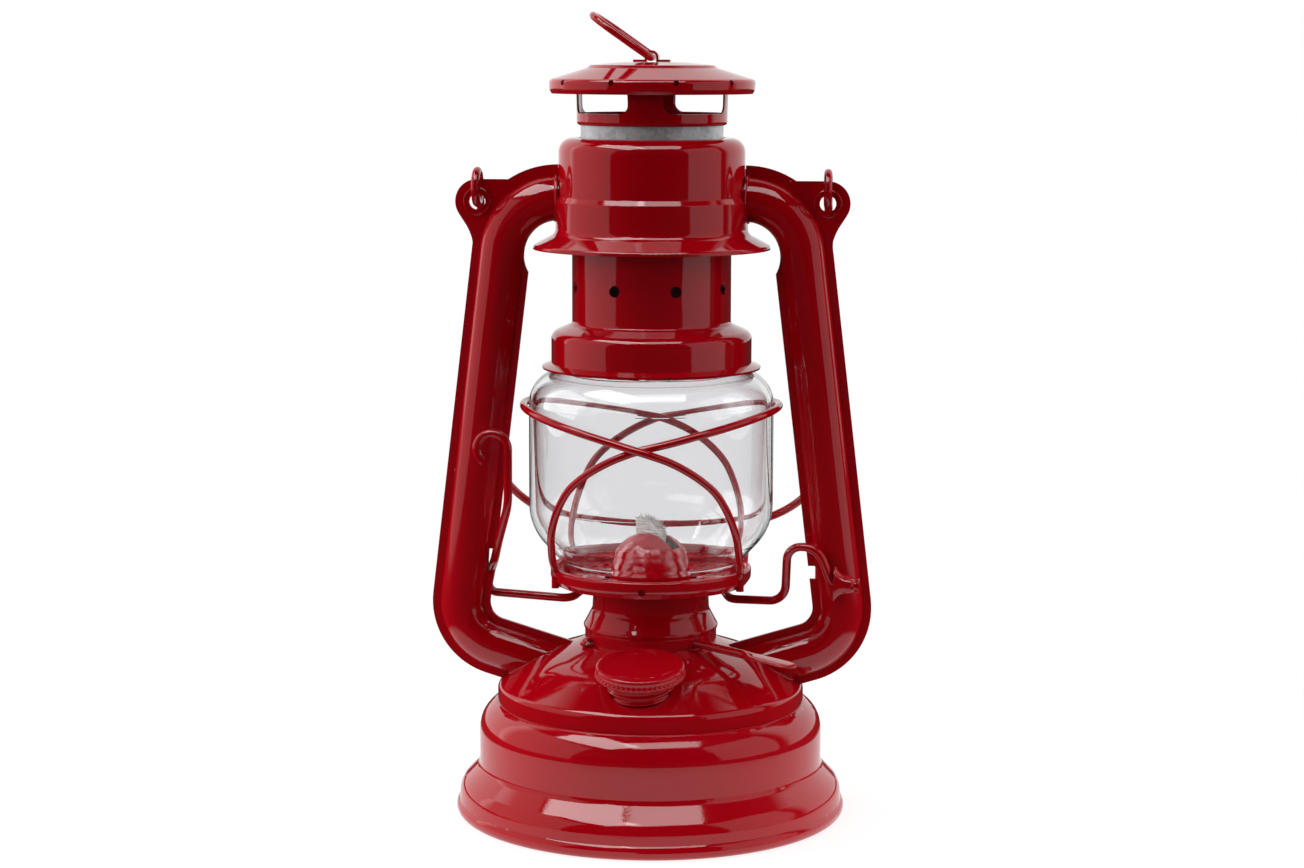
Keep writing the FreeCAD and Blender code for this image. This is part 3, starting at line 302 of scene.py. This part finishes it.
def new_material(name):
    """Material of that name, with its tree, its Principled shader and its Object coordinates."""
    material = bpy.data.materials.new(name)
    material.use_nodes = True
    tree = material.node_tree
    spot = node(tree, "ShaderNodeTexCoord").outputs["Object"]
    return material, tree, tree.nodes["Principled BSDF"], spot


def surface_material(name, colours, roughness, wave_scale, grain_scale, grain_share, depth, metallic=0.0,
                     ior=1.5, thin=None, bare=None, chip_scale=260.0, chip_share=0.16, edge_width=0.0005):
    """Principled material whose colour and roughness drift between two values with the uneven surface.

    Where thin is given, the colour turns to it along edges; where bare is given, chips show that colour.
    """
    material, tree, shader, spot = new_material(name)
    surface = node(tree, "ShaderNodeGroup", {
        "Position": spot, "Wave Scale": wave_scale, "Grain Scale": grain_scale, "Grain Share": grain_share},
        node_tree=uneven).outputs
    colour = mixed(tree, ramp(tree, surface["Mask"], wave_low, wave_high), *colours)
    rough = ramp(tree, surface["Mask"], wave_low, wave_high, *roughness)
    if thin:
        wear = node(tree, "ShaderNodeGroup", {
            "Position": spot, "Edge Width": edge_width, "Chip Scale": chip_scale, "Chip Share": chip_share},
            node_tree=worn).outputs
        colour = mixed(tree, math_node(tree, "MULTIPLY", wear["Edge"], thin_share), colour, thin)
        colour = mixed(tree, wear["Chips"], colour, bare)
        rough = math_node(tree, "ADD", rough, math_node(tree, "MULTIPLY", wear["Chips"], chip_roughness))
    plug(tree, shader, {
        "Base Color": colour, "Metallic": metallic, "Roughness": rough, "IOR": ior,
        "Normal": bumped(tree, surface["Height"], depth)})
    return material


def dress(material, *names):
    """Gives those nodes of the solid model that material."""
    for name in names:
        nodes[name].data.materials.clear()
        nodes[name].data.materials.append(material)


red = ((0.42, 0.0006, 0.005), (0.47, 0.001, 0.008))
thin_red = (0.26, 0.002, 0.005)
bare_steel = (0.34, 0.29, 0.27)
enamel = surface_material(
    "red_enamel", red, roughness=(0.045, 0.075), wave_scale=30.0, grain_scale=1300.0, grain_share=0.015,
    depth=0.00035, ior=1.55, thin=thin_red, bare=bare_steel)
foot_enamel = surface_material(
    "red_enamel_foot", red, roughness=(0.05, 0.085), wave_scale=24.0, grain_scale=1300.0, grain_share=0.015,
    depth=0.0006, ior=1.55, thin=thin_red, bare=bare_steel, chip_scale=190.0, chip_share=0.24,
    edge_width=0.0012)
dress(foot_enamel, "tank_shell", "tank_bottom")
dress(enamel, "tank_top")


# Filler: a tilted neck pressed out of the tank through the dome, with a rolled thread, a rubber
# ring on its mouth, and a pressed cap with a dished top and a beaded grip round its lower edge.

filler_tilt = math.radians(11.0)
filler_place = np.array((0.0, -40.0, 51.7))
thread_pitch = 2.4
thread_height = 0.5
neck_low, neck_high = -5.5, 6.0
neck_bore_radius = 9.75
neck_steps = 96


def between(value, start, end):
    """Share of the way from start to end, held at 0 and 1."""
    return np.clip((value - start) / (end - start), 0, 1)


def turned(outline, steps, swell):
    """Grid of an outline of radius and height turned about Z: x = r cos a, y = r sin a, z = height.

    swell gives what is added to the radius at each height and angle.
    """
    radius, height = (np.asarray(outline, float)[:, i:i + 1] for i in (0, 1))
    angle = np.linspace(0, 2 * np.pi, steps, endpoint=False)[None, :]
    radius = radius + swell(radius, height, angle)
    return np.stack((radius * np.cos(angle), radius * np.sin(angle), height + 0 * angle), axis=-1)


def reworked(mesh, change):
    """Mesh after a change made to its bmesh, with all faces turned outward."""
    work = bmesh.new()
    work.from_mesh(mesh)
    change(work)
    bmesh.ops.recalc_face_normals(work, faces=work.faces)
    work.to_mesh(mesh)
    work.free()
    return mesh


def skin(name, grid, round_columns=True, round_rows=False):
    """Mesh of quads over a grid of points in millimetres, with doubled points at the poles joined."""
    rows, columns = grid.shape[:2]
    i = np.arange(rows if round_rows else rows - 1)[:, None]
    j = np.arange(columns if round_columns else columns - 1)[None, :]
    below, above = i * columns, ((i + 1) % rows) * columns
    after = (j + 1) % columns
    quads = np.stack((below + j, below + after, above + after, above + j), axis=-1).reshape(-1, 4)
    mesh = bpy.data.meshes.new(name)
    mesh.from_pydata((grid.reshape(-1, 3) / 1000).tolist(), [], quads.tolist())
    reworked(mesh, lambda work: bmesh.ops.remove_doubles(work, verts=work.verts, dist=1e-6))
    mesh.shade_smooth()
    return mesh


def fitted(name, mesh, body, slot, material, *stands_for):
    """Object of that mesh at the origin, with its finish, riding on its body, in place of those nodes.

    A piece without a body is not attached to any.
    """
    piece = bpy.data.objects.new(name, mesh)
    scene.collection.objects.link(piece)
    mesh.materials.append(material)
    if body:
        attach(piece, body)
    if stands_for:
        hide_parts(*stands_for)
    return piece


def red_piece(name, grid, body, *stands_for, **closing):
    """Enamelled piece with the skin of that grid, riding on its body, in place of those nodes."""
    return fitted(name, skin(name, grid, **closing), body, "red_enamel", enamel, *stands_for)


def on_filler(grid):
    """Grid made about Z, tilted forward and set on the filler's axis."""
    x, y, z = grid[..., 0], grid[..., 1], grid[..., 2]
    c, s = math.cos(filler_tilt), math.sin(filler_tilt)
    return np.stack((x, y * c - z * s, y * s + z * c), axis=-1) + filler_place


def thread_swell(radius, height, angle):
    """Rolled thread: a smooth wave that climbs one pitch a turn, faded out at the neck's two ends."""
    wave = np.cos(2 * np.pi * height / thread_pitch - angle)
    fade = between(height, neck_low + 0.3, neck_low + 1.9) * between(height, neck_high, neck_high - 0.9)
    return thread_height * wave * fade * (radius > neck_bore_radius)


climb = np.linspace(neck_low, neck_high, 70)
neck_outside = np.stack((10.0 + 1.75 * between(climb, -4.0, neck_high), climb), axis=-1)
neck_outline = np.concatenate((
    [(9.6, -14.0), (9.75, -9.0), (9.9, -6.5)], neck_outside,
    [(11.4, 6.02), (9.7, 6.0), (9.65, 5.0), (9.6, -3.0), (9.2, -6.0), (9.0, -14.0)]))
red_piece("filler_neck_rolled", on_filler(turned(neck_outline, neck_steps, thread_swell)), "frame",
          "filler_neck", round_rows=True)

rubber = surface_material(
    "rubber", ((0.02, 0.02, 0.02), (0.035, 0.035, 0.035)), roughness=(0.6, 0.75), wave_scale=400.0,
    grain_scale=2500.0, grain_share=0.2, depth=0.0001)
dress(rubber, "cap_gasket")

cap_foot = 6.9
beads = 50
bead_height = 0.7
bead_level, bead_half_band = -0.3, 0.72
cap_side_radius = 15.05


def bead_swell(radius, height, angle):
    """Round beads side by side round the cap's lower edge, highest at the middle of their row."""
    rise = height - cap_foot
    band = np.exp(-((rise - bead_level) / bead_half_band) ** 2) * (radius > cap_side_radius)
    return band * bead_height * (np.sqrt(np.abs(np.cos(beads * angle / 2))) - 0.35)


cap_outline = [
    (0, 2.0), (4, 2.02), (8, 2.1), (10.8, 2.3), (12.4, 2.62), (13.4, 2.88), (14.1, 2.96), (14.7, 2.84),
    (15.0, 2.55), (15.15, 2.1), (15.15, 1.5), (15.1, 0.9), (15.12, 0.5), (15.2, 0.2), (15.22, 0.0),
    (15.22, -0.2), (15.2, -0.45), (15.15, -0.7), (15.1, -0.95), (14.95, -1.15), (14.6, -1.25), (14.2, -1.2),
    (13.9, -0.8), (13.8, 0.0), (12.0, 0.0), (9.5, 0.0),
    (9.5, -1.0), (9.1, -1.25), (9.1, -1.75), (9.5, -2.0), (9.5, -3.4), (9.1, -3.65), (9.1, -4.15),
    (9.5, -4.4), (9.5, -7.0), (8.5, -7.0), (8.5, -1.0), (4.0, -1.0), (0, -1.0)]
cap_outline = [(r, h + cap_foot) for r, h in cap_outline]
red_piece("fuel_cap_beaded", on_filler(turned(cap_outline, 8 * beads, bead_swell)), "fuel_cap", "fuel_cap")


# Air dome: a pressed cover seamed round the tank top, which gathers the air that comes down the
# tubes and feeds it to the burner. One locking tab of the collar is bent over beside its foot.

dress(enamel, "air_dome", "burner_collar")

up = np.array((0.0, 0.0, 1.0))


def carried(path, across, beside, section, closed=False):
    """Grid of a section carried along a path: path + across times its first + beside times its second part.

    section has one pair a column, or one pair a point of the path and a column. A closed grid ends in
    the path's two end points.
    """
    section = np.asarray(section, float)
    if section.ndim == 2:
        section = section[None]
    grid = path[:, None] + across[:, None] * section[..., :1] + beside[:, None] * section[..., 1:]
    if closed:
        first, last = np.broadcast_to(path[[0, -1], None], (2, *grid.shape[1:]))
        grid = np.concatenate((first[None], grid, last[None]))
    return grid


def round_section(radius, sides):
    """Circle of that radius in that many points."""
    angle = np.linspace(0, 2 * np.pi, sides, endpoint=False)
    return np.stack((radius * np.cos(angle), radius * np.sin(angle)), axis=-1)


def squarer(wave, power):
    """Sine or cosine with broader tops: its sign times its size to a power below one."""
    return np.sign(wave) * np.abs(wave) ** power


tab_radius, tab_level = 23.0, 60.6
tab_length = 3.4
tab_half_width, tab_half_thick = 2.1, 0.42
curl_radius = 1.3
straight_share = 0.35
curl = np.linspace(0, 1, 15)
curl_turn = np.radians(-70 + 250 * between(curl, straight_share, 1))
straight = np.minimum(curl, straight_share)
curled = curl_radius * (curl > straight_share)
tab_reach = tab_length * straight / straight_share + curled * (np.cos(curl_turn + 0.6) - 0.82)
tab_rise = 1.0 - 0.8 * straight + curled * (np.sin(curl_turn) + 0.94)
outward = np.array((-0.857, -0.515, 0.0))
sideways = np.array((0.515, -0.857, 0.0))
tab_path = outward * (tab_radius + tab_reach)[:, None] + up * (tab_level + tab_rise)[:, None]
tab_way = np.gradient(tab_path, axis=0)
tab_way /= np.linalg.norm(tab_way, axis=1)[:, None]
taper = (1 - 0.35 * curl ** 2)[:, None]
angle = np.linspace(0, 2 * np.pi, 16, endpoint=False)
tab_section = np.stack((
    tab_half_width * taper * squarer(np.cos(angle), 0.6),
    tab_half_thick * squarer(np.sin(angle), 0.8) + 0 * taper), axis=-1)
red_piece("collar_tab", carried(
    tab_path, np.broadcast_to(sideways, tab_path.shape), np.cross(tab_way, sideways), tab_section,
    closed=True), "frame")


# Burner: a brass body screwed into the tank top, with a flat brass tube that guides the wick up
# into a slotted red dome. Heat has browned the brass in patches.

brass = surface_material(
    "brass", ((0.30, 0.19, 0.075), (0.62, 0.45, 0.2)), roughness=(0.28, 0.5), wave_scale=140.0,
    grain_scale=1500.0, grain_share=0.2, depth=0.0001, metallic=1.0)
dress(brass, "burner_base", "wick_tube")
dress(enamel, "burner_cone")


# Wick spindle: a round steel rod with two star wheels that grip the wick, and a forged paddle key
# on its outer end. Rod and key are one piece, dipped in the same red enamel.

wick_turned = math.radians(-29.0)
wick_along = np.array((math.cos(wick_turned), math.sin(wick_turned), 0.0))
wick_across = np.array((wick_along[1], -wick_along[0], 0.0))

spindle_down = math.radians(4.7)
spindle_aside, spindle_level = 5.8, 65.6
rod_radius = 1.5
rod_start, rod_end = -12.0, 41.0
paddle_half_width, paddle_widening, paddle_thinning = 3.9, 0.5, 0.82
tip_start, tip_end = 58.6, 63.7
spindle_way = wick_along * math.cos(spindle_down) - up * math.sin(spindle_down)
spindle_flat = np.cross(spindle_way, up)
spindle_flat /= np.linalg.norm(spindle_flat)
spindle_thick = np.cross(spindle_way, spindle_flat)

along = np.concatenate((
    np.linspace(rod_start, rod_end, 16), np.linspace(rod_end + 0.6, tip_end - 0.5, 44),
    tip_end - 0.5 * np.linspace(1, 0, 8) ** 2))
spread = between(along, 42.0, 47.5)
spread = spread * spread * (3 - 2 * spread)
tip = np.sqrt(1 - between(along, tip_start, tip_end) ** 2)
paddle = paddle_half_width + paddle_widening * between(along, 46.0, 58.0)
half_width = (rod_radius + (paddle - rod_radius) * spread) * tip
half_thick = (rod_radius - paddle_thinning * spread) * np.minimum(1, tip * 1.6)
angle = np.linspace(0, 2 * np.pi, 28, endpoint=False)
key_section = np.stack((
    half_width[:, None] * squarer(np.cos(angle), (1 - 0.35 * spread)[:, None]),
    half_thick[:, None] * np.sin(angle)), axis=-1)
key_path = wick_across * spindle_aside + up * spindle_level + spindle_way * along[:, None]
red_piece("wick_key", carried(
    key_path, np.broadcast_to(spindle_flat, key_path.shape), np.broadcast_to(spindle_thick, key_path.shape),
    key_section, closed=True), "wick_knob", "wick_spindle")
dress(brass, "wick_sprockets")


# Wick: a flat band of woven cotton, twelve millimetres wide, that stands out of the dome's slot.
# Its trimmed end has come unwoven and leans over to the right as loose white yarn.

cotton, tree, shader, spot = new_material("woven_cotton")
straightened = node(tree, "ShaderNodeMapping", {
    "Vector": spot, "Rotation": (0, 0, -wick_turned)}).outputs["Vector"]
warp = node(tree, "ShaderNodeTexWave", {
    "Vector": straightened, "Scale": 420.0, "Distortion": 1.2, "Detail": 1.0}, bands_direction="X")
weft = node(tree, "ShaderNodeTexWave", {
    "Vector": straightened, "Scale": 300.0, "Distortion": 1.6, "Detail": 1.0}, bands_direction="Z")
weave = math_node(tree, "MAXIMUM", warp.outputs["Fac"], weft.outputs["Fac"])
stain = noise(tree, spot, 260.0, detail=3.0)
tone = mixed(tree, ramp(tree, weave, 0.2, 1.0), (0.84, 0.82, 0.75), (0.98, 0.97, 0.93))
tone = mixed(tree, ramp(tree, stain, 0.55, 0.75, 0.0, 0.5), tone, (0.42, 0.37, 0.26))
plug(tree, shader, {
    "Base Color": tone, "Roughness": ramp(tree, weave, 0.0, 1.0, 0.95, 0.8),
    "Normal": bumped(tree, weave, 0.0003)})

band_half_width, band_half_thick = 6.0, 1.5
band_foot, wick_top = 17.5, 107.4
fray_length = 3.0
slant_drop = 5.4
slant_start, slant_end = 92.0, 102.0


def wick_place(width, depth, height):
    """Point of the wick's own frame: width along the slot, depth across it, and height."""
    return width[..., None] * wick_along + depth[..., None] * wick_across + height[..., None] * up


def trimmed(width):
    """Fall of the cut end from left to right: its drop times the share of the width to the power 1.6."""
    return slant_drop * between(width, -1.0, 6.0) ** 1.6


height = np.linspace(band_foot, wick_top - fray_length, 30)
height = np.concatenate(([band_foot, band_foot], height, [wick_top - 2.4, wick_top - 2.4]))[:, None]
angle = np.linspace(0, 2 * np.pi, 32, endpoint=False)
open_row = np.ones(len(height))[:, None]
open_row[[0, -1]] = 0
band_width = band_half_width * squarer(np.cos(angle), 0.35) * open_row
band_depth = band_half_thick * squarer(np.sin(angle), 0.5) * open_row
band = skin("wick_band", wick_place(
    band_width, band_depth, height - between(height, slant_start, slant_end) * trimmed(band_width)))

count, steps, sides = 170, 7, 4
yarn_limit_width, yarn_limit_depth = 5.9, 1.3
seed = np.random.default_rng(5)
start = seed.uniform(-5.7, 5.7, count)[:, None]
layer = seed.uniform(-1.2, 1.2, count)[:, None]
length = seed.uniform(1.8, 4.6, count)[:, None] * (1 - 0.25 * np.abs(start) / band_half_width)
lean = 0.28 + 0.5 * between(start, -2.0, 5.0) + seed.normal(0, 0.22, count)[:, None]
sway = seed.normal(0, 0.35, count)[:, None]
share = np.linspace(0, 1, steps)
bend = share ** 1.5
yarn_width = start + length * bend * np.sin(lean)
yarn_depth = layer * (1 + 0.4 * bend) + length * bend * sway * 0.6
yarn_rise = wick_top - 4.4 - trimmed(start) + length * (share - 0.42 * np.abs(lean) * bend)
yarn_rise += 0.12 * np.sin(9 * share + seed.uniform(0, 6, count)[:, None])
middle = wick_place(
    np.clip(yarn_width, -yarn_limit_width, yarn_limit_width),
    np.clip(yarn_depth, -yarn_limit_depth, yarn_limit_depth), yarn_rise)
thick = 0.26 * (1 - 0.6 * share) * seed.uniform(0.7, 1.2, count)[:, None]
angle = np.linspace(0, 2 * np.pi, sides, endpoint=False)[:, None]
yarns = middle[:, :, None] + thick[..., None, None] * (
    np.cos(angle) * wick_along + np.sin(angle) * wick_across)
corner = np.arange(count * steps * sides).reshape(count, steps, sides)
after = np.roll(corner, -1, axis=2)
walls = np.stack((corner[:, :-1], after[:, :-1], after[:, 1:], corner[:, 1:]), axis=-1).reshape(-1, 4)
ends = np.concatenate((corner[:, 0, ::-1], corner[:, -1]))
loose = bpy.data.meshes.new("loose_yarn")
loose.from_pydata((yarns.reshape(-1, 3) / 1000).tolist(), [], walls.tolist() + ends.tolist())
reworked(band, lambda work: work.from_mesh(loose))
band.shade_smooth()
fitted("wick_woven", band, "wick", "cotton", cotton, "wick")


# Side tubes: each is two pressed halves laid edge to edge, with a flat seam fin along both sides
# and an ear at the crown for the carrying wire. They bring air from the hood down to the dome, and
# are soldered where they enter both.

dress(enamel, "left_tube_front", "left_tube_back", "right_tube_front", "right_tube_back")

tube_level = 217.8
tube_half_width, tube_half_depth = 7.8, 7.25
solder_gap = 0.1
hood_radius = 33.4
seam_steps = 72
run_slope = math.radians(17.0)
elbow = np.array((69.05, 0.0, 62.23))
longest_run = 60.0
dome_reach = np.array((0.0, 24.7, 31.0, 36.0, 41.0, 45.0, 49.0, 52.0, 53.6, 54.3, 54.35))
dome_rise = np.array((61.2, 61.1, 58.7, 56.7, 54.2, 51.9, 49.4, 47.4, 46.2, 44.6, 39.0))
ear_place = np.array((61.3, 0.0, 216.5))
ear_rim_radius, ear_half_thick = 4.5, 0.62
hood_bead, dome_bead, ear_bead = 0.75, 0.8, 0.55


def ring_along(path, radius):
    """Round bead along a closed path, square to its direction of travel."""
    way = np.roll(path, -1, axis=0) - np.roll(path, 1, axis=0)
    way /= np.linalg.norm(way, axis=1)[:, None]
    away = path - path.mean(axis=0)
    beside = np.cross(way, away)
    beside /= np.linalg.norm(beside, axis=1)[:, None]
    return carried(path, np.cross(beside, way), beside, round_section(radius, 10))


around_tube = np.linspace(0, 2 * np.pi, seam_steps, endpoint=False)
across_tube = (tube_half_depth + solder_gap) * np.cos(around_tube)
up_tube = (tube_half_width + solder_gap) * np.sin(around_tube)
hood_seam = np.stack((
    np.sqrt(hood_radius ** 2 - across_tube ** 2), across_tube, tube_level + up_tube), axis=-1)

# The lower seam is where lines along the tube's surface enter the dome, found by halving their length.
run_way = np.array((-math.cos(run_slope), 0.0, -math.sin(run_slope)))
run_up = np.array((-math.sin(run_slope), 0.0, math.cos(run_slope)))
ring = elbow + np.outer(across_tube, (0, 1.0, 0)) + np.outer(up_tube, run_up)
near, far = np.zeros(seam_steps), np.full(seam_steps, longest_run)
for _ in range(24):
    middle = (near + far) / 2
    point = ring + middle[:, None] * run_way
    inside = point[:, 2] < np.interp(np.hypot(point[:, 0], point[:, 1]), dome_reach, dome_rise)
    near, far = np.where(inside, near, middle), np.where(inside, middle, far)
dome_seam = ring + near[:, None] * run_way

around_ear = np.linspace(0, 2 * np.pi, 40, endpoint=False)
ear_rim = ear_place + ear_rim_radius * np.stack((
    np.cos(around_ear), 0 * around_ear, np.sin(around_ear)), axis=-1)
gusset = np.array((
    (67.75, 212.1), (66.4, 210.0), (65.1, 208.0), (64.1, 206.0), (63.3, 203.8), (62.9, 201.0), (61.2, 201.0),
    (60.2, 206.0), (60.2, 212.1)))
gusset_half_thick = 0.64

for side, name in ((-1, "left"), (1, "right")):
    mirror = np.array((side, 1.0, 1.0))
    red_piece(name + "_hood_seam", ring_along(hood_seam * mirror, hood_bead), "frame", round_rows=True)
    red_piece(name + "_dome_seam", ring_along(dome_seam * mirror, dome_bead), "frame", round_rows=True)
    for face, where in ((-1, "front"), (1, "back")):
        rim = ear_rim * mirror + np.array((0, face * ear_half_thick, 0))
        red_piece(name + "_ear_rim_" + where, ring_along(rim, ear_bead), "frame", round_rows=True)
    plate = np.stack([
        np.stack((gusset[:, 0] * side, 0 * gusset[:, 0] + y, gusset[:, 1]), axis=-1)
        for y in (-gusset_half_thick, gusset_half_thick)])
    label = name + "_ear_gusset"
    mesh = reworked(skin(label, plate), lambda work: bmesh.ops.holes_fill(work, edges=work.edges))
    mesh.shade_flat()
    fitted(label, mesh, "frame", "red_enamel", enamel)


# Hood: a drawn steel shell with a flared lip, which the tubes enter and the chimney slides through.
# A plain coil spring inside it presses the chimney down on the glass. The coil is drawn in two halves.

dress(enamel, "hood")
spring_steel = surface_material(
    "spring_steel", ((0.40, 0.40, 0.41), (0.52, 0.52, 0.53)), roughness=(0.25, 0.4), wave_scale=300.0,
    grain_scale=1500.0, grain_share=0.2, depth=0.0001, metallic=1.0)
coil_radius = 27.6
coil_turns = 7
coil_wire_radius = 0.75
coil_low, coil_high = (1000 * corner[2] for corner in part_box("chimney_spring"))
coil_middle = (coil_low + coil_high) / 2
coil_climb = coil_high - coil_low - 2 * coil_wire_radius
for label, first, last, bodies, held, moved, stands_for in (
        ("spring_upper", 0.5, 1.0, ("frame", "globe_carriage"), coil_high, coil_middle, ["chimney_spring"]),
        ("spring_lower", 0.0, 0.5, ("globe_carriage", "chimney"), coil_middle, coil_low, [])):
    share = np.linspace(first, last, 170)
    angle = 2 * np.pi * coil_turns * share
    away = np.stack((np.cos(angle), np.sin(angle), 0 * angle), axis=-1)
    coil = coil_radius * away + up * (coil_low + coil_wire_radius + coil_climb * share)[:, None]
    wire = carried(
        coil, away, np.broadcast_to(up, coil.shape), round_section(coil_wire_radius, 10), closed=True)
    piece = fitted(label, skin(label, wire), None, "spring_steel", spring_steel, *stands_for)
    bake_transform(piece)


# Lever strap: a lug pressed out of thin steel, open like a trumpet to the left where the lever's end
# goes in, pinched over it, and crimped to a small flare beyond it. It is spot-welded to the tube.

lever_left = np.array((-55.8, 0.0, 89.5))
lever_right = np.array((68.2, -10.05, 84.2))
strap_way = (lever_right - lever_left) / np.linalg.norm(lever_right - lever_left)
strap_out = np.array((0.0, -1.0, 0.0))
strap_out -= strap_way * (strap_out @ strap_way)
strap_out /= np.linalg.norm(strap_out)
strap_up = np.cross(strap_out, strap_way)
along = np.linspace(-3.2, 5.6, 34)
half_height = np.interp(
    along, (-3.2, -2.4, -1.2, 0.2, 1.6, 3.0, 3.8, 4.6, 5.6), (6.3, 4.9, 3.6, 2.9, 2.7, 2.4, 1.7, 1.6, 2.3))
stand = np.interp(along, (-3.2, -1.5, 1.6, 3.0, 3.8, 5.6), (3.0, 2.75, 2.7, 2.5, 1.5, 1.7))
skirt = 1.9
arc = np.linspace(-0.5 * np.pi, 0.5 * np.pi, 25)
lug_path = lever_right + strap_way * along[:, None]
lug_section = np.stack((
    stand[:, None] * np.cos(arc) ** 0.8 - skirt * (1 - np.cos(arc)) ** 3,
    half_height[:, None] * np.sin(arc)), axis=-1)
lug = red_piece("lever_lug", carried(
    lug_path, np.broadcast_to(strap_out, lug_path.shape), np.broadcast_to(strap_up, lug_path.shape),
    lug_section), "frame", "lever_strap", round_columns=False)
wall = lug.modifiers.new("wall", "SOLIDIFY")
wall.thickness = 0.0008
wall.offset = 0.0


# Globe plate: a pressed plate with a rolled rim, pierced with rows of small air holes, that carries
# the glass. It rises with the lever to lift the glass off the burner.

dress(enamel, "globe_plate")


# Globe: clear pressed glass with a waist, ground flat at both ends. Its wall is slightly wavy, and it
# lets light through to the burner inside.

glass, tree, shader, spot = new_material("clear_glass")
stretched = node(tree, "ShaderNodeMapping", {"Vector": spot, "Scale": (1.0, 1.0, 0.25)}).outputs["Vector"]
plug(tree, shader, {
    "Base Color": (0.885, 0.885, 0.895, 1), "Roughness": 0.0, "IOR": 1.48, "Transmission Weight": 1.0,
    "Normal": bumped(tree, noise(tree, stretched, 26.0, detail=0.5), 0.0004)})
clear = node(tree, "ShaderNodeBsdfTransparent", {"Color": (0.93, 0.93, 0.935, 1)})
in_shadow = node(tree, "ShaderNodeLightPath").outputs["Is Shadow Ray"]
let_through = node(tree, "ShaderNodeMixShader", {0: in_shadow, 1: shader.outputs[0], 2: clear.outputs[0]})
plug(tree, tree.nodes["Material Output"], {"Surface": let_through.outputs[0]})
dress(glass, "globe")


# Guard wires and lift lever: round steel wire, bent cold and dipped in the red enamel. The two guard
# wires cross in front of the glass and behind it; the lever ends in a curled finger loop.

wire_enamel = surface_material(
    "red_wire", red, roughness=(0.05, 0.085), wave_scale=60.0, grain_scale=1300.0, grain_share=0.03,
    depth=0.0002, ior=1.55)
dress(wire_enamel, "guard_wire_left", "guard_wire_right", "lift_lever")


# Chimney: a bell with eight air holes that stands on the glass and slides in the hood, with painted
# shade inside it, and spot-welded to an inner flue of galvanised sheet that shows as a spangled grey band
# above the hood.

# Painted shade: inside the bell, nearer the axis than its wall, the enamel is coloured near-black and made
# fully rough, to stand for the shade in it.
painted_shade_radius = 0.0271
painted_shade_colour = (0.03, 0.006, 0.006)
bell_enamel = enamel.copy()
bell_enamel.name = "red_enamel_bell"
tree = bell_enamel.node_tree
shader = tree.nodes["Principled BSDF"]
spot = node(tree, "ShaderNodeTexCoord").outputs["Object"]
flattened = node(tree, "ShaderNodeVectorMath", {
    0: spot, 1: (1, 1, 0)}, operation="MULTIPLY").outputs["Vector"]
reach = node(tree, "ShaderNodeVectorMath", {0: flattened}, operation="LENGTH").outputs["Value"]
painted_shade = ramp(tree, reach, painted_shade_radius, painted_shade_radius + 0.0002, 1.0, 0.0)
plain, rough = (shader.inputs[name].links[0].from_socket for name in ("Base Color", "Roughness"))
plug(tree, shader, {
    "Base Color": mixed(tree, painted_shade, plain, painted_shade_colour),
    "Roughness": math_node(tree, "MAXIMUM", rough, painted_shade)})
dress(bell_enamel, "chimney_bell")

galvanised, tree, shader, spot = new_material("galvanised")
spangle = node(tree, "ShaderNodeTexVoronoi", {"Vector": spot, "Scale": 620.0, "Randomness": 1.0})
flake = node(tree, "ShaderNodeSeparateColor", {"Color": spangle.outputs["Color"]}).outputs
cloud = noise(tree, spot, 70.0, detail=3.0)
tone = mixed(tree, flake["Red"], (0.36, 0.38, 0.40), (0.54, 0.56, 0.58))
tone = mixed(tree, ramp(tree, cloud, 0.4, 0.65, 0.0, 0.55), tone, (0.80, 0.82, 0.84))
plug(tree, shader, {
    "Base Color": tone, "Metallic": 0.35, "Roughness": ramp(tree, flake["Green"], 0.0, 1.0, 0.28, 0.5),
    "Normal": bumped(tree, cloud, 0.0004)})
dress(galvanised, "flue")


# Cap: a windowed cage on the flue and a brimmed disc over it, with a strip staple that holds the
# oval lifting ring. All are pressed steel in the red enamel, the ring is wire.

dress(enamel, "cap_cage", "cap_disc", "ring_staple")
dress(wire_enamel, "top_ring")


# Bail: the carrying wire, hooked through both ears. It hangs behind the lantern at rest and swings
# up over the cap.

dress(wire_enamel, "bail")
